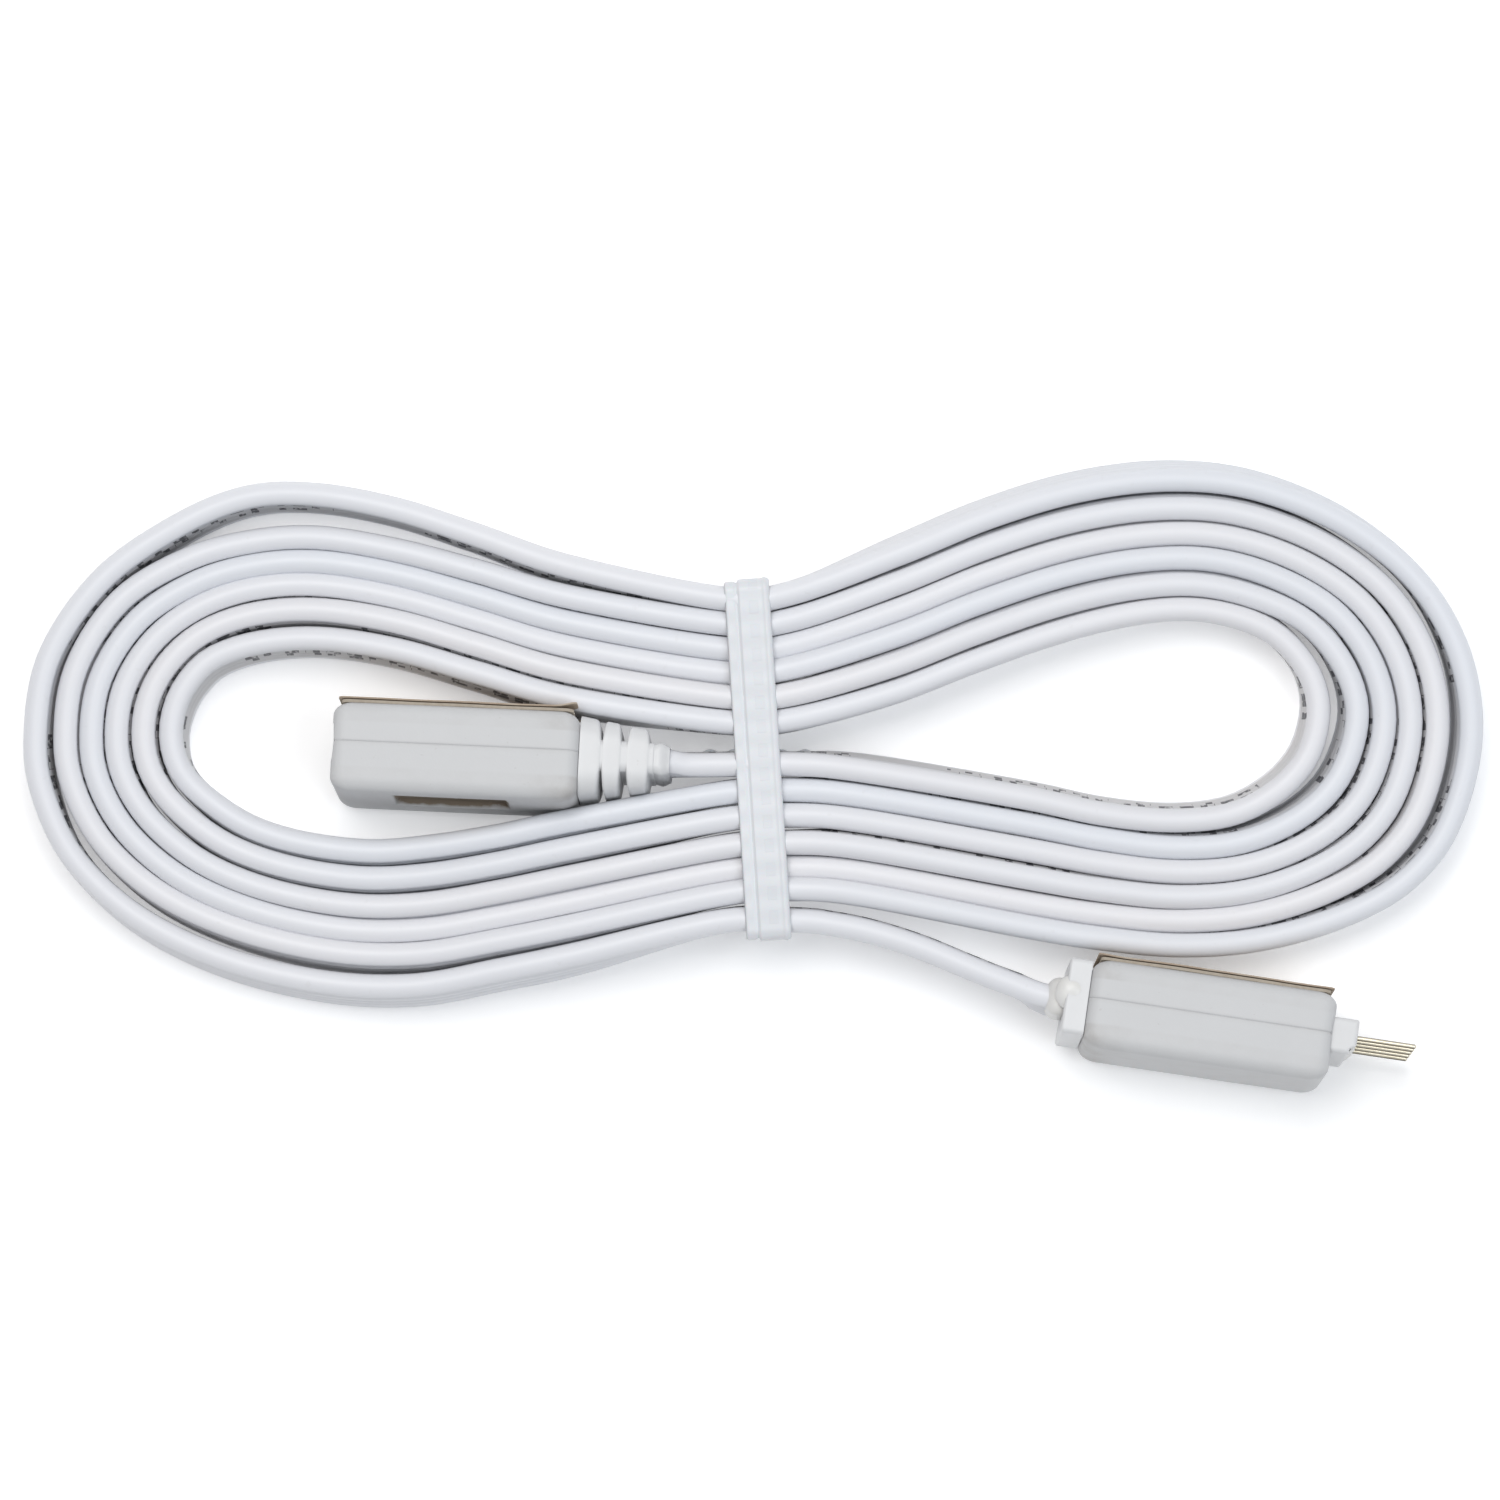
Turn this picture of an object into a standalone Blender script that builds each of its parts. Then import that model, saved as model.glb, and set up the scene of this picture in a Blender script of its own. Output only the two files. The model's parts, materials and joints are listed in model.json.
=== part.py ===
"""Two metre extension cord for low-voltage strip lighting, wound in a hank and tied.

A flat five-core cord runs from a socket that lies inside the left loop, round the hank, to a
plug that lies outside the right loop. Each connector is a two-part shell with its board,
contacts and wire ends inside it. +X runs along the hank, +Y across it, +Z up, and z = 0 is the
surface it lies on. Metres; the sizes below are in millimetres times MM.
"""

import math

import bmesh
import bpy
from mathutils import Euler, Vector

MM = 0.001

# Cord
CORD_WIDTH = 7.6 * MM
CORD_THICKNESS = 2.7 * MM
CORES = 5
CORE_DIAMETER = 1.1 * MM
CORE_PITCH = 1.45 * MM

# Clearances
GAP = 0.3 * MM  # between neighbours that meet
SLIP = 0.15 * MM  # round a piece that sits in a hole
BOND = 0.06 * MM  # between the layers of an adhesive pad

# Connector shells
SHELL_LENGTH = 26.8 * MM
SHELL_THICKNESS = 9.7 * MM
SHELL_DEPTH = 14.0 * MM
SHELL_WALL = 0.9 * MM
SHELL_ROUNDING = 1.2 * MM
PARTING_GAP = 0.15 * MM
PARTING_OFFSET = 0.45 * MM  # from the middle of the shell towards its adhesive side

# Pins and contacts
PIN_PITCH = 2.54 * MM
PIN_DIAMETER = 0.52 * MM
PIN_REACH = 6.5 * MM
PIN_TAIL = 2.4 * MM
HEADER_DEPTH = 11.8 * MM
HEADER_THICKNESS = 3.9 * MM
HEADER_REACH = 2.65 * MM
HEADER_HOLD = 3.0 * MM
POCKET_DEPTH = 0.5 * MM
POCKET_MARGIN = 0.75 * MM
SEAL_REACH = 0.35 * MM
MOUTH_DEPTH = 3.0 * MM
CONTACT_DIAMETER = 1.1 * MM
CONTACT_BORE = 0.62 * MM
CONTACT_LENGTH = 6.4 * MM
CONTACT_BLOCK_LENGTH = 5.6 * MM
CONTACT_BLOCK_SLIP = 0.2 * MM  # between the block's ends and the shell's walls

# Board, clamp and cord end inside a shell
BOARD_LENGTH = 7.5 * MM
BOARD_THICKNESS = 1.0 * MM
CLAMP_LENGTH = 2.2 * MM
CLAMP_ROUNDING = 0.4 * MM
CORD_END_HOLD = 6.0 * MM
CORE_LAND = 2.6 * MM

# Collar, glue and strain relief
COLLAR_LENGTH = 2.2 * MM
COLLAR_THICKNESS = 8.3 * MM
COLLAR_DEPTH = 12.0 * MM
GLUE_LENGTH = 1.9 * MM
GLUE_MARGIN = 0.7 * MM
RELIEF_LENGTH = 7.8 * MM
RELIEF_THICKNESSES = (6.0 * MM, 7.0 * MM, 8.0 * MM)  # of the ribs, from the cord to the shell
RELIEF_DEPTH = 11.0 * MM
RELIEF_RIB = 1.8 * MM
RELIEF_SLEEVE_WALL = 0.55 * MM
RELIEF_ROUNDING = 0.7 * MM

# Adhesive pad and its release liner
PAD_LENGTH = 25.2 * MM
PAD_THICKNESS = 0.45 * MM
PAD_DEPTH = 11.4 * MM
LINER_THICKNESS = 0.14 * MM
LINER_OVERHANG = 0.3 * MM

# How the connectors lie: the middle of the shell's cord end on the line of the pins, and its
# roll, dip and turn in degrees
PLUG_PLACE = (36.3438 * MM, -24.9925 * MM, 7.8 * MM)
PLUG_TURN = (-9.5, 0.0, -8.4)
SOCKET_PLACE = (-18.6254 * MM, 1.566 * MM, 8.9345 * MM)
SOCKET_TURN = (10.0, 2.5, 177.5)

# How the hank lies: raised by the twist of the tie under it, and leaning over to either side
TWIST_RAISE = 3.8 * MM
RAISE_REACH = 62.0 * MM
LEAN_LEFT = 0.18
LEAN_RIGHT = -0.125
LEAN_REACH = 4.0 * MM
LEAN_SPREAD = 1.8  # less lean per metre of +Y
WAIST = 3.7 * MM  # half of the stretch that the tie holds upright

# Tie
TIE_WIDTH = 4.9 * MM
TIE_THICKNESS = 0.6 * MM
TIE_X = 0.6 * MM
TIE_SLANT = 3.7
TIE_ROUNDING = 0.4 * MM
TWIST_LENGTH = 13.0 * MM
TWIST_WIDTH = 2.4 * MM
TWIST_THICKNESS = 1.1 * MM
TWIST_TURNS = 2.5
WIRE_DIAMETER = 0.45 * MM
WIRE_REACH = 1.6 * MM

# Where the cord lies, in millimetres, as the line of its upper edge. Each lobe has the line of
# its innermost and its outermost turn, from one side of the tie round to the other.
LEFT_INNER = (
    (-3.3, 5.9), (-19.9, 8.9), (-29.7, 11.4), (-38.4, 13.8), (-46.6, 15.1), (-53.4, 14.8),
    (-58.7, 13.2), (-61.6, 10.6), (-63.2, 7.4), (-63.5, 3.8), (-62.2, 0.3), (-59.1, -2.7),
    (-54.5, -5.5), (-48.7, -7.2), (-41.7, -8.0), (-35.1, -7.6), (-27.5, -6.5), (-19.9, -5.2),
    (-11.2, -3.7), (-3.3, -1.9),
)
LEFT_OUTER = (
    (-3.3, 19.3), (-19.9, 22.9), (-30.2, 26.4), (-38.9, 29.2), (-47.7, 30.8), (-55.3, 30.5),
    (-62.9, 27.4), (-71.1, 21.6), (-76.9, 13.1), (-78.4, 4.1), (-77.3, -2.6), (-73.7, -9.4),
    (-66.9, -15.4), (-57.5, -19.8), (-46.6, -22.3), (-36.8, -22.6), (-27.5, -20.9),
    (-19.3, -19.2), (-3.3, -15.8),
)
RIGHT_INNER = (
    (4.0, 1.3), (11.8, 0.5), (29.2, -2.4), (37.9, -4.2), (45.5, -5.0), (52.1, -4.4),
    (57.1, -2.0), (60.4, 1.4), (61.8, 5.3), (61.7, 9.0), (60.0, 12.5), (56.7, 15.6),
    (52.0, 17.4), (46.6, 18.0), (40.1, 17.2), (32.5, 15.2), (23.7, 12.1), (15.0, 8.8),
    (4.0, 6.1),
)
RIGHT_OUTER = (
    (4.0, -12.3), (11.8, -13.0), (29.2, -16.4), (37.9, -17.8), (46.6, -18.6), (55.4, -18.0),
    (64.1, -15.6), (71.2, -11.8), (76.1, -5.7), (78.6, 3.9), (77.3, 13.2), (72.5, 21.3),
    (64.6, 27.4), (54.8, 31.2), (45.5, 32.1), (35.7, 30.9), (25.9, 28.0), (16.1, 24.0),
    (8.5, 20.9), (4.0, 19.3),
)
OUTLINE_STEPS = 3
BEND_LINES = [(-60 + 8 * i) * MM for i in range(16)]
SOCKET_LEAD_START_X = -5.0 * MM
PLUG_LEAD_START_X = 5.0 * MM

# The two stretches that aren't wound, in millimetres, as the line of the cord's middle
SOCKET_LEAD = ((-9.7, 1.15, 8.85), (-8.3, 1.15, 8.7), (-6.9, 1.2, 8.55), (-5.5, 1.25, 8.5))
PLUG_LEAD = (
    (5.3, -15.75, 7.6), (8.5, -16.1, 7.55), (12.0, -16.75, 7.5), (15.6, -17.75, 7.5),
    (19.2, -19.0, 7.55), (22.8, -20.5, 7.65), (26.4, -21.95, 7.75), (29.2, -23.0, 7.8),
    (31.1, -23.6, 7.8),
)

PART_NAME = "extension_cord"


def clear_scene():
    for obj in list(bpy.data.objects):
        bpy.data.objects.remove(obj, do_unlink=True)


def new_collection(name):
    collection = bpy.data.collections.new(name)
    bpy.context.scene.collection.children.link(collection)
    return collection


def move_to(obj, collection):
    for other in list(obj.users_collection):
        other.objects.unlink(obj)
    collection.objects.link(obj)


def make_material(name, colour, roughness, metallic=0.0):
    material = bpy.data.materials.new(name)
    material.use_nodes = True
    shader = material.node_tree.nodes["Principled BSDF"]
    shader.inputs["Base Color"].default_value = (*colour, 1.0)
    shader.inputs["Roughness"].default_value = roughness
    shader.inputs["Metallic"].default_value = metallic
    return material


def make_materials():
    """One material for each slot, and a list with one insulation colour for each core."""
    insulation = {
        "black": (0.03, 0.03, 0.03),
        "green": (0.04, 0.35, 0.08),
        "red": (0.55, 0.03, 0.03),
        "blue": (0.03, 0.09, 0.50),
        "white": (0.75, 0.75, 0.72),
    }
    return {
        "cores": [make_material(f"{name}_insulation", insulation[name], 0.4) for name in insulation],
        "jacket": make_material("white_cord_jacket", (0.80, 0.81, 0.84), 0.38),
        "shell": make_material("grey_white_shell", (0.62, 0.63, 0.63), 0.62),
        "clear_white": make_material("milky_moulding", (0.76, 0.76, 0.76), 0.40),
        "glue": make_material("cream_glue", (0.74, 0.70, 0.60), 0.35),
        "gold": make_material("gold_plating", (0.78, 0.66, 0.42), 0.25, 1.0),
        "board": make_material("green_board", (0.05, 0.25, 0.12), 0.45),
        "pad": make_material("grey_foam_pad", (0.55, 0.55, 0.54), 0.85),
        "liner": make_material("brown_liner_paper", (0.42, 0.33, 0.25), 0.75),
        "tie": make_material("white_tie_plastic", (0.72, 0.75, 0.79), 0.45),
        "wire": make_material("tie_wire_steel", (0.55, 0.55, 0.56), 0.35, 1.0),
    }


def link_part(obj, name, material, parent=None):
    obj.name = name
    obj.data.name = name
    obj.data.materials.clear()
    obj.data.materials.append(material)
    move_to(obj, PARTS)
    if parent is not None:
        obj.parent = parent
    return obj


def make_cutter(obj, name, parent=None):
    obj.name = name
    obj.hide_render = True
    obj.display_type = "WIRE"
    move_to(obj, CUTTERS)
    if parent is not None:
        obj.parent = parent
    return obj


def apply_scale(obj):
    obj.data.transform(obj.matrix_basis.Diagonal((*obj.scale, 1.0)))
    obj.scale = (1.0, 1.0, 1.0)


def box_between(low, high):
    """A box primitive with these lowest and highest corners."""
    low, high = Vector(low), Vector(high)
    bpy.ops.mesh.primitive_cube_add(size=1.0, location=(low + high) / 2)
    obj = bpy.context.object
    obj.scale = high - low
    apply_scale(obj)
    return obj


def rod_along_x(start_x, end_x, diameter, z=0.0, y=0.0, sides=12):
    bpy.ops.mesh.primitive_cylinder_add(
        vertices=sides,
        radius=diameter / 2,
        depth=end_x - start_x,
        location=((start_x + end_x) / 2, y, z),
        rotation=(0.0, math.pi / 2, 0.0),
    )
    shade_round(bpy.context.object)
    return bpy.context.object


def shade_round(obj):
    """Smooth shading across the curved faces, with the real edges kept sharp."""
    obj.data.shade_smooth()
    obj.data.set_sharp_from_angle(angle=math.radians(35))


def add_bevel(obj, width, segments=2, angle=math.radians(40)):
    bevel = obj.modifiers.new("Rounding", "BEVEL")
    bevel.width = width
    bevel.segments = segments
    bevel.limit_method = "ANGLE"
    bevel.angle_limit = angle


def add_boolean(obj, other, operation="DIFFERENCE"):
    boolean = obj.modifiers.new(operation.title(), "BOOLEAN")
    boolean.operation = operation
    boolean.object = other
    boolean.solver = "EXACT"


def joined(objects):
    """One mesh object made of these, each staying a closed body of its own."""
    bpy.ops.object.select_all(action="DESELECT")
    for obj in objects:
        obj.select_set(True)
    bpy.context.view_layer.objects.active = objects[0]
    bpy.ops.object.join()
    return bpy.context.object


def row_offsets(pitch, count=CORES):
    """Positions of a centred row."""
    return [(i - (count - 1) / 2) * pitch for i in range(count)]


def frame_empty(name, cord_end, turn):
    """A connector's own axes, with the origin in the middle of its shell."""
    empty = bpy.data.objects.new(name, None)
    PARTS.objects.link(empty)
    rotation = Euler([math.radians(angle) for angle in turn])
    empty.location = Vector(cord_end) + rotation.to_matrix() @ Vector((SHELL_LENGTH / 2, 0, 0))
    empty.rotation_euler = rotation
    return empty


def smooth_line(stations, steps):
    """Points on a Catmull-Rom curve through the stations, with this many steps a span."""
    ends = [
        2 * Vector(stations[0]) - Vector(stations[1]),
        2 * Vector(stations[-1]) - Vector(stations[-2]),
    ]
    knots = [ends[0], *map(Vector, stations), ends[1]]
    points = []
    for a, b, c, d in zip(knots, knots[1:], knots[2:], knots[3:]):
        for step in range(steps):
            t = step / steps
            points.append(
                0.5 * (2 * b + (c - a) * t + (2 * a - 5 * b + 4 * c - d) * t**2
                       + (3 * b - a - 3 * c + d) * t**3)
            )
    return [*points, knots[-2]]


def offset_line(points, distance):
    """A line beside this one: a positive distance lies to the right of its direction."""
    moved = []
    last = len(points) - 1
    for i, point in enumerate(points):
        run = (points[min(i + 1, last)] - points[max(i - 1, 0)]).normalized()
        moved.append(point + Vector((run.y, -run.x)) * distance)
    return moved


def cut_off(points, x):
    """The stretch of the line to the left of x, ending on x at both ends."""
    kept = []
    for a, b in zip(points, points[1:]):
        if a.x <= x:
            kept.append(a)
        if (a.x - x) * (b.x - x) < 0:
            kept.append(a.lerp(b, (x - a.x) / (b.x - a.x)))
    return kept


def raise_at(x):
    """How far the twist under the tie lifts the hank: a cosine hump centred on the tie."""
    share = min(1.0, abs(x - TIE_X) / RAISE_REACH)
    return TWIST_RAISE * math.cos(share * math.pi / 2) ** 2


def lean_at(x, y):
    """Sideways shift per height: the lobes lean opposite ways, and the tie holds the middle."""
    side = LEAN_LEFT if x < TIE_X else LEAN_RIGHT
    away = max(0.0, abs(x - TIE_X) - WAIST)
    return (side - LEAN_SPREAD * y) * (1 - math.exp(-away / LEAN_REACH))


def flat_outline(name, outlines, thickness):
    """A 2D curve with these closed outlines, the first one outside and the others holes."""
    curve = bpy.data.curves.new(name, "CURVE")
    curve.dimensions = "2D"
    curve.fill_mode = "BOTH"
    curve.extrude = thickness / 2
    for outline in outlines:
        spline = curve.splines.new("POLY")
        spline.points.add(len(outline) - 1)
        for point, (x, y) in zip(spline.points, outline):
            point.co = (x, y, 0.0, 1.0)
        spline.use_cyclic_u = True
    obj = bpy.data.objects.new(name, curve)
    bpy.context.scene.collection.objects.link(obj)
    return obj


def mesh_from(obj):
    """The evaluated curve as a mesh object with its caps welded on."""
    graph = bpy.context.evaluated_depsgraph_get()
    mesh = bpy.data.meshes.new_from_object(obj.evaluated_get(graph))
    made = bpy.data.objects.new(obj.name, mesh)
    made.matrix_world = obj.matrix_world.copy()
    bpy.context.scene.collection.objects.link(made)
    bpy.data.objects.remove(obj, do_unlink=True)
    edit = bmesh.new()
    edit.from_mesh(mesh)
    bmesh.ops.remove_doubles(edit, verts=edit.verts, dist=1e-6)
    bmesh.ops.recalc_face_normals(edit, faces=edit.faces)
    edit.to_mesh(mesh)
    edit.free()
    return made


def cut_across(mesh, places):
    """Cut the faces along X at these places, so that the mesh can bend there."""
    edit = bmesh.new()
    edit.from_mesh(mesh)
    for x in places:
        cut = [*edit.verts, *edit.edges, *edit.faces]
        bmesh.ops.bisect_plane(edit, geom=cut, dist=1e-6, plane_co=(x, 0, 0), plane_no=(1, 0, 0))
    edit.to_mesh(mesh)
    edit.free()


def in_metres(stations):
    return [Vector(station) * MM for station in stations]


def make_hank(materials):
    """The hank's outer shape: two lobes pinched at the tie, with the opening inside each."""
    half = CORD_THICKNESS / 2
    left = offset_line(smooth_line(in_metres(LEFT_OUTER), OUTLINE_STEPS), half)
    right = offset_line(smooth_line(in_metres(RIGHT_OUTER), OUTLINE_STEPS), half)
    step_low = Vector((PLUG_LEAD_START_X, left[-1].y))
    step_high = Vector((PLUG_LEAD_START_X, right[0].y))
    outside = [*left, step_low, step_high]
    outside += [point for point in right if point.x > PLUG_LEAD_START_X + GAP or point.y > 0]
    left_hole = offset_line(smooth_line(in_metres(LEFT_INNER), OUTLINE_STEPS), -half)
    left_hole = cut_off(left_hole, SOCKET_LEAD_START_X)
    right_hole = offset_line(smooth_line(in_metres(RIGHT_INNER), OUTLINE_STEPS), -half)
    hank = mesh_from(flat_outline("hank_outline", [outside, left_hole, right_hole], CORD_WIDTH))
    cut_across(hank.data, BEND_LINES)
    for vertex in hank.data.vertices:
        x, y, z = vertex.co
        below_top = CORD_WIDTH / 2 - z
        vertex.co.y = y - lean_at(x, y) * below_top
        vertex.co.z = CORD_WIDTH - below_top + raise_at(x)
    shade_round(hank)
    link_part(hank, "cord_hank", materials["jacket"])


def make_lead(name, route, materials):
    """A flat stretch of cord standing on its edge."""
    curve = bpy.data.curves.new(name, "CURVE")
    curve.dimensions = "3D"
    curve.twist_mode = "Z_UP"
    curve.bevel_depth = CORD_THICKNESS / 2
    curve.bevel_resolution = 2
    curve.extrude = (CORD_WIDTH - CORD_THICKNESS) / 2
    curve.use_fill_caps = True
    points = in_metres(route)
    spline = curve.splines.new("POLY")
    spline.points.add(len(points) - 1)
    for point, place in zip(spline.points, points):
        point.co = (*place, 1.0)
    lead = bpy.data.objects.new(name, curve)
    bpy.context.scene.collection.objects.link(lead)
    link_part(lead, name, materials["jacket"])


def make_shell_half(name, side, pad_side, windows, frame, materials):
    """Half of a connector shell, open at the parting plane; sides are +1 or -1 along local Y."""
    half = Vector((SHELL_LENGTH, SHELL_THICKNESS, SHELL_DEPTH)) / 2
    middle = Vector((0.0, -pad_side * PARTING_OFFSET, 0.0))
    wall = Vector((SHELL_WALL, SHELL_WALL, SHELL_WALL))
    shell = box_between(middle - half, middle + half)
    add_bevel(shell, SHELL_ROUNDING)
    cavity = box_between(middle - half + wall, middle + half - wall)
    add_boolean(shell, make_cutter(cavity, f"{name}_cavity", frame))
    reach = half + wall
    edge = PARTING_GAP / 2
    if side > 0:
        away = box_between(-reach, (reach.x, edge, reach.z))
    else:
        away = box_between((-reach.x, -edge, -reach.z), reach)
    add_boolean(shell, make_cutter(away, f"{name}_other_half", frame))
    for window in windows:
        add_boolean(shell, window)
    return link_part(shell, name, materials["shell"], frame)


def window_through(name, end_x, thickness, depth, frame):
    """A cutter through the end wall at end_x."""
    reach = 2 * SHELL_WALL
    half = (thickness / 2 + SLIP, depth / 2 + SLIP)
    cutter = box_between((end_x - reach, -half[0], -half[1]), (end_x + reach, half[0], half[1]))
    return make_cutter(cutter, name, frame)


def make_adhesive(prefix, side, frame, materials):
    """The foam pad and the release liner on the broad face at this side."""
    base = SHELL_THICKNESS / 2 - PARTING_OFFSET + BOND
    layers = (
        ("adhesive_pad", base, PAD_THICKNESS, 0.0, "pad"),
        ("release_liner", base + PAD_THICKNESS + BOND, LINER_THICKNESS, LINER_OVERHANG, "liner"),
    )
    for name, start, thickness, overhang, slot in layers:
        length = PAD_LENGTH / 2 + overhang
        depth = PAD_DEPTH / 2 + overhang
        near, far = sorted((side * start, side * (start + thickness)))
        sheet = box_between((-length, near, -depth), (length, far, depth))
        link_part(sheet, f"{prefix}_{name}", materials[slot], frame)


def cord_section_box(start_x, end_x, clearance=0.0):
    """A straight piece of the cord's section along local X."""
    half_t = CORD_THICKNESS / 2 + clearance
    half_w = CORD_WIDTH / 2 + clearance
    return box_between((start_x, -half_t, -half_w), (end_x, half_t, half_w))


def make_cord_end(prefix, gland_x, frame, materials):
    """The cord's own end, from the gland's outer face into the shell."""
    inner_x = -SHELL_LENGTH / 2 + CORD_END_HOLD
    end = cord_section_box(gland_x, inner_x)
    add_bevel(end, CORD_THICKNESS * 0.35)
    link_part(end, f"{prefix}_cord_end", materials["jacket"], frame)
    return inner_x


def make_cores(prefix, start_x, board_x, frame, materials):
    """The insulated cores, fanned out from the cord's pitch to the pins' pitch on the board."""
    rows = zip(row_offsets(CORE_PITCH), row_offsets(PIN_PITCH), materials["cores"])
    for number, (cord_z, board_z, material) in enumerate(rows, 1):
        curve = bpy.data.curves.new(f"{prefix}_core_{number}", "CURVE")
        curve.dimensions = "3D"
        curve.bevel_depth = CORE_DIAMETER / 2
        curve.bevel_resolution = 2
        curve.use_fill_caps = True
        first = Vector((start_x + GAP, 0.0, cord_z))
        last = Vector((board_x + CORE_LAND, 0.0, board_z))
        straight = Vector(((last.x - first.x) * 0.2, 0.0, 0.0))
        route = smooth_line([first, first + straight, last - straight, last], 2)
        spline = curve.splines.new("POLY")
        spline.points.add(len(route) - 1)
        for point, place in zip(spline.points, route):
            point.co = (*place, 1.0)
        core = bpy.data.objects.new(curve.name, curve)
        bpy.context.scene.collection.objects.link(core)
        link_part(core, curve.name, material, frame)


def make_board(prefix, end_x, frame, materials):
    """The board beside the pins' tails and the cores; returns the end that faces the cord."""
    top = -CORE_DIAMETER / 2 - SLIP
    depth = HEADER_DEPTH / 2 - GAP
    start_x = end_x - BOARD_LENGTH
    board = box_between((start_x, top - BOARD_THICKNESS, -depth), (end_x, top, depth))
    link_part(board, f"{prefix}_circuit_board", materials["board"], frame)
    return start_x


def make_clamp(prefix, pad_side, frame, materials):
    """A bar that the back shell presses onto the cord's end."""
    start_x = -SHELL_LENGTH / 2 + SHELL_WALL + GAP
    near = pad_side * (CORD_THICKNESS / 2 + SLIP)
    far = pad_side * (SHELL_THICKNESS / 2 - PARTING_OFFSET - SHELL_WALL - SLIP)
    low, high = sorted((near, far))
    depth = SHELL_DEPTH / 2 - SHELL_WALL - GAP
    clamp = box_between((start_x, low, -depth), (start_x + CLAMP_LENGTH, high, depth))
    add_bevel(clamp, CLAMP_ROUNDING)
    link_part(clamp, f"{prefix}_cord_clamp", materials["clear_white"], frame)


def pin_holes(name, start_x, end_x, diameter, frame):
    rods = [rod_along_x(start_x, end_x, diameter, z) for z in row_offsets(PIN_PITCH)]
    return make_cutter(joined(rods), name, frame)


def make_header(frame, materials):
    """The plug's header block, its pins and the glue round their roots."""
    half = (HEADER_THICKNESS / 2, HEADER_DEPTH / 2)
    end_x = SHELL_LENGTH / 2
    low_x = end_x - HEADER_HOLD
    high_x = end_x + HEADER_REACH
    block = box_between((low_x, -half[0], -half[1]), (high_x, half[0], half[1]))
    hole = PIN_DIAMETER + 2 * SLIP
    far_x = high_x + SEAL_REACH + GAP
    holes = pin_holes("plug_header_holes", low_x - GAP, far_x, hole, frame)
    margin = POCKET_MARGIN
    pocket = box_between(
        (high_x - POCKET_DEPTH, -half[0] + margin, -half[1] + margin / 2),
        (high_x + GAP, half[0] - margin, half[1] - margin / 2),
    )
    add_boolean(block, holes)
    add_boolean(block, make_cutter(pocket, "plug_header_pocket", frame))
    link_part(block, "plug_header_block", materials["clear_white"], frame)
    seal = box_between(
        (high_x - POCKET_DEPTH + BOND, -half[0] + margin + SLIP, -half[1] + margin / 2 + SLIP),
        (high_x + SEAL_REACH, half[0] - margin - SLIP, half[1] - margin / 2 - SLIP),
    )
    add_boolean(seal, holes)
    link_part(seal, "plug_pin_seal", materials["glue"], frame)
    for number, z in enumerate(row_offsets(PIN_PITCH), 1):
        pin = rod_along_x(low_x - PIN_TAIL, high_x + PIN_REACH, PIN_DIAMETER, z)
        add_bevel(pin, PIN_DIAMETER * 0.3, angle=math.radians(60))
        link_part(pin, f"plug_pin_{number}", materials["gold"], frame)
    return low_x


def make_contacts(frame, materials):
    """The socket's contact block and its tubular contacts, set back from the mouth."""
    half = (HEADER_THICKNESS / 2, SHELL_DEPTH / 2 - SHELL_WALL - CONTACT_BLOCK_SLIP)
    high_x = SHELL_LENGTH / 2 - MOUTH_DEPTH
    low_x = high_x - CONTACT_BLOCK_LENGTH
    block = box_between((low_x, -half[0], -half[1]), (high_x, half[0], half[1]))
    hole = CONTACT_DIAMETER + 2 * SLIP
    add_boolean(block, pin_holes("socket_block_holes", low_x - GAP, high_x + GAP, hole, frame))
    link_part(block, "socket_contact_block", materials["clear_white"], frame)
    for number, z in enumerate(row_offsets(PIN_PITCH), 1):
        contact = rod_along_x(high_x - GAP - CONTACT_LENGTH, high_x - GAP, CONTACT_DIAMETER, z)
        start_x = high_x - GAP - CONTACT_LENGTH + CONTACT_DIAMETER
        bore = rod_along_x(start_x, high_x, CONTACT_BORE, z)
        add_boolean(contact, make_cutter(bore, f"socket_contact_bore_{number}", frame))
        link_part(contact, f"socket_contact_{number}", materials["gold"], frame)
    return low_x


def make_collar(frame, materials):
    """The plug's collar at the cord's entry, and the bead of glue against it."""
    end_x = -SHELL_LENGTH / 2 - GAP
    start_x = end_x - COLLAR_LENGTH
    half = (COLLAR_THICKNESS / 2, COLLAR_DEPTH / 2)
    collar = box_between((start_x, -half[0], -half[1]), (end_x, half[0], half[1]))
    add_bevel(collar, SHELL_ROUNDING / 2)
    slot = cord_section_box(start_x - GAP, end_x + GAP, SLIP)
    add_boolean(collar, make_cutter(slot, "plug_collar_slot", frame))
    link_part(collar, "plug_cord_collar", materials["clear_white"], frame)
    reach = (CORD_THICKNESS / 2 + GLUE_MARGIN, CORD_WIDTH / 2 + GLUE_MARGIN)
    high_x = start_x - GAP
    glue = box_between((high_x - GLUE_LENGTH, -reach[0], -reach[1]), (high_x, reach[0], reach[1]))
    add_bevel(glue, GLUE_MARGIN * 0.9)
    link_part(glue, "plug_cord_glue", materials["glue"], frame)
    return start_x


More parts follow.
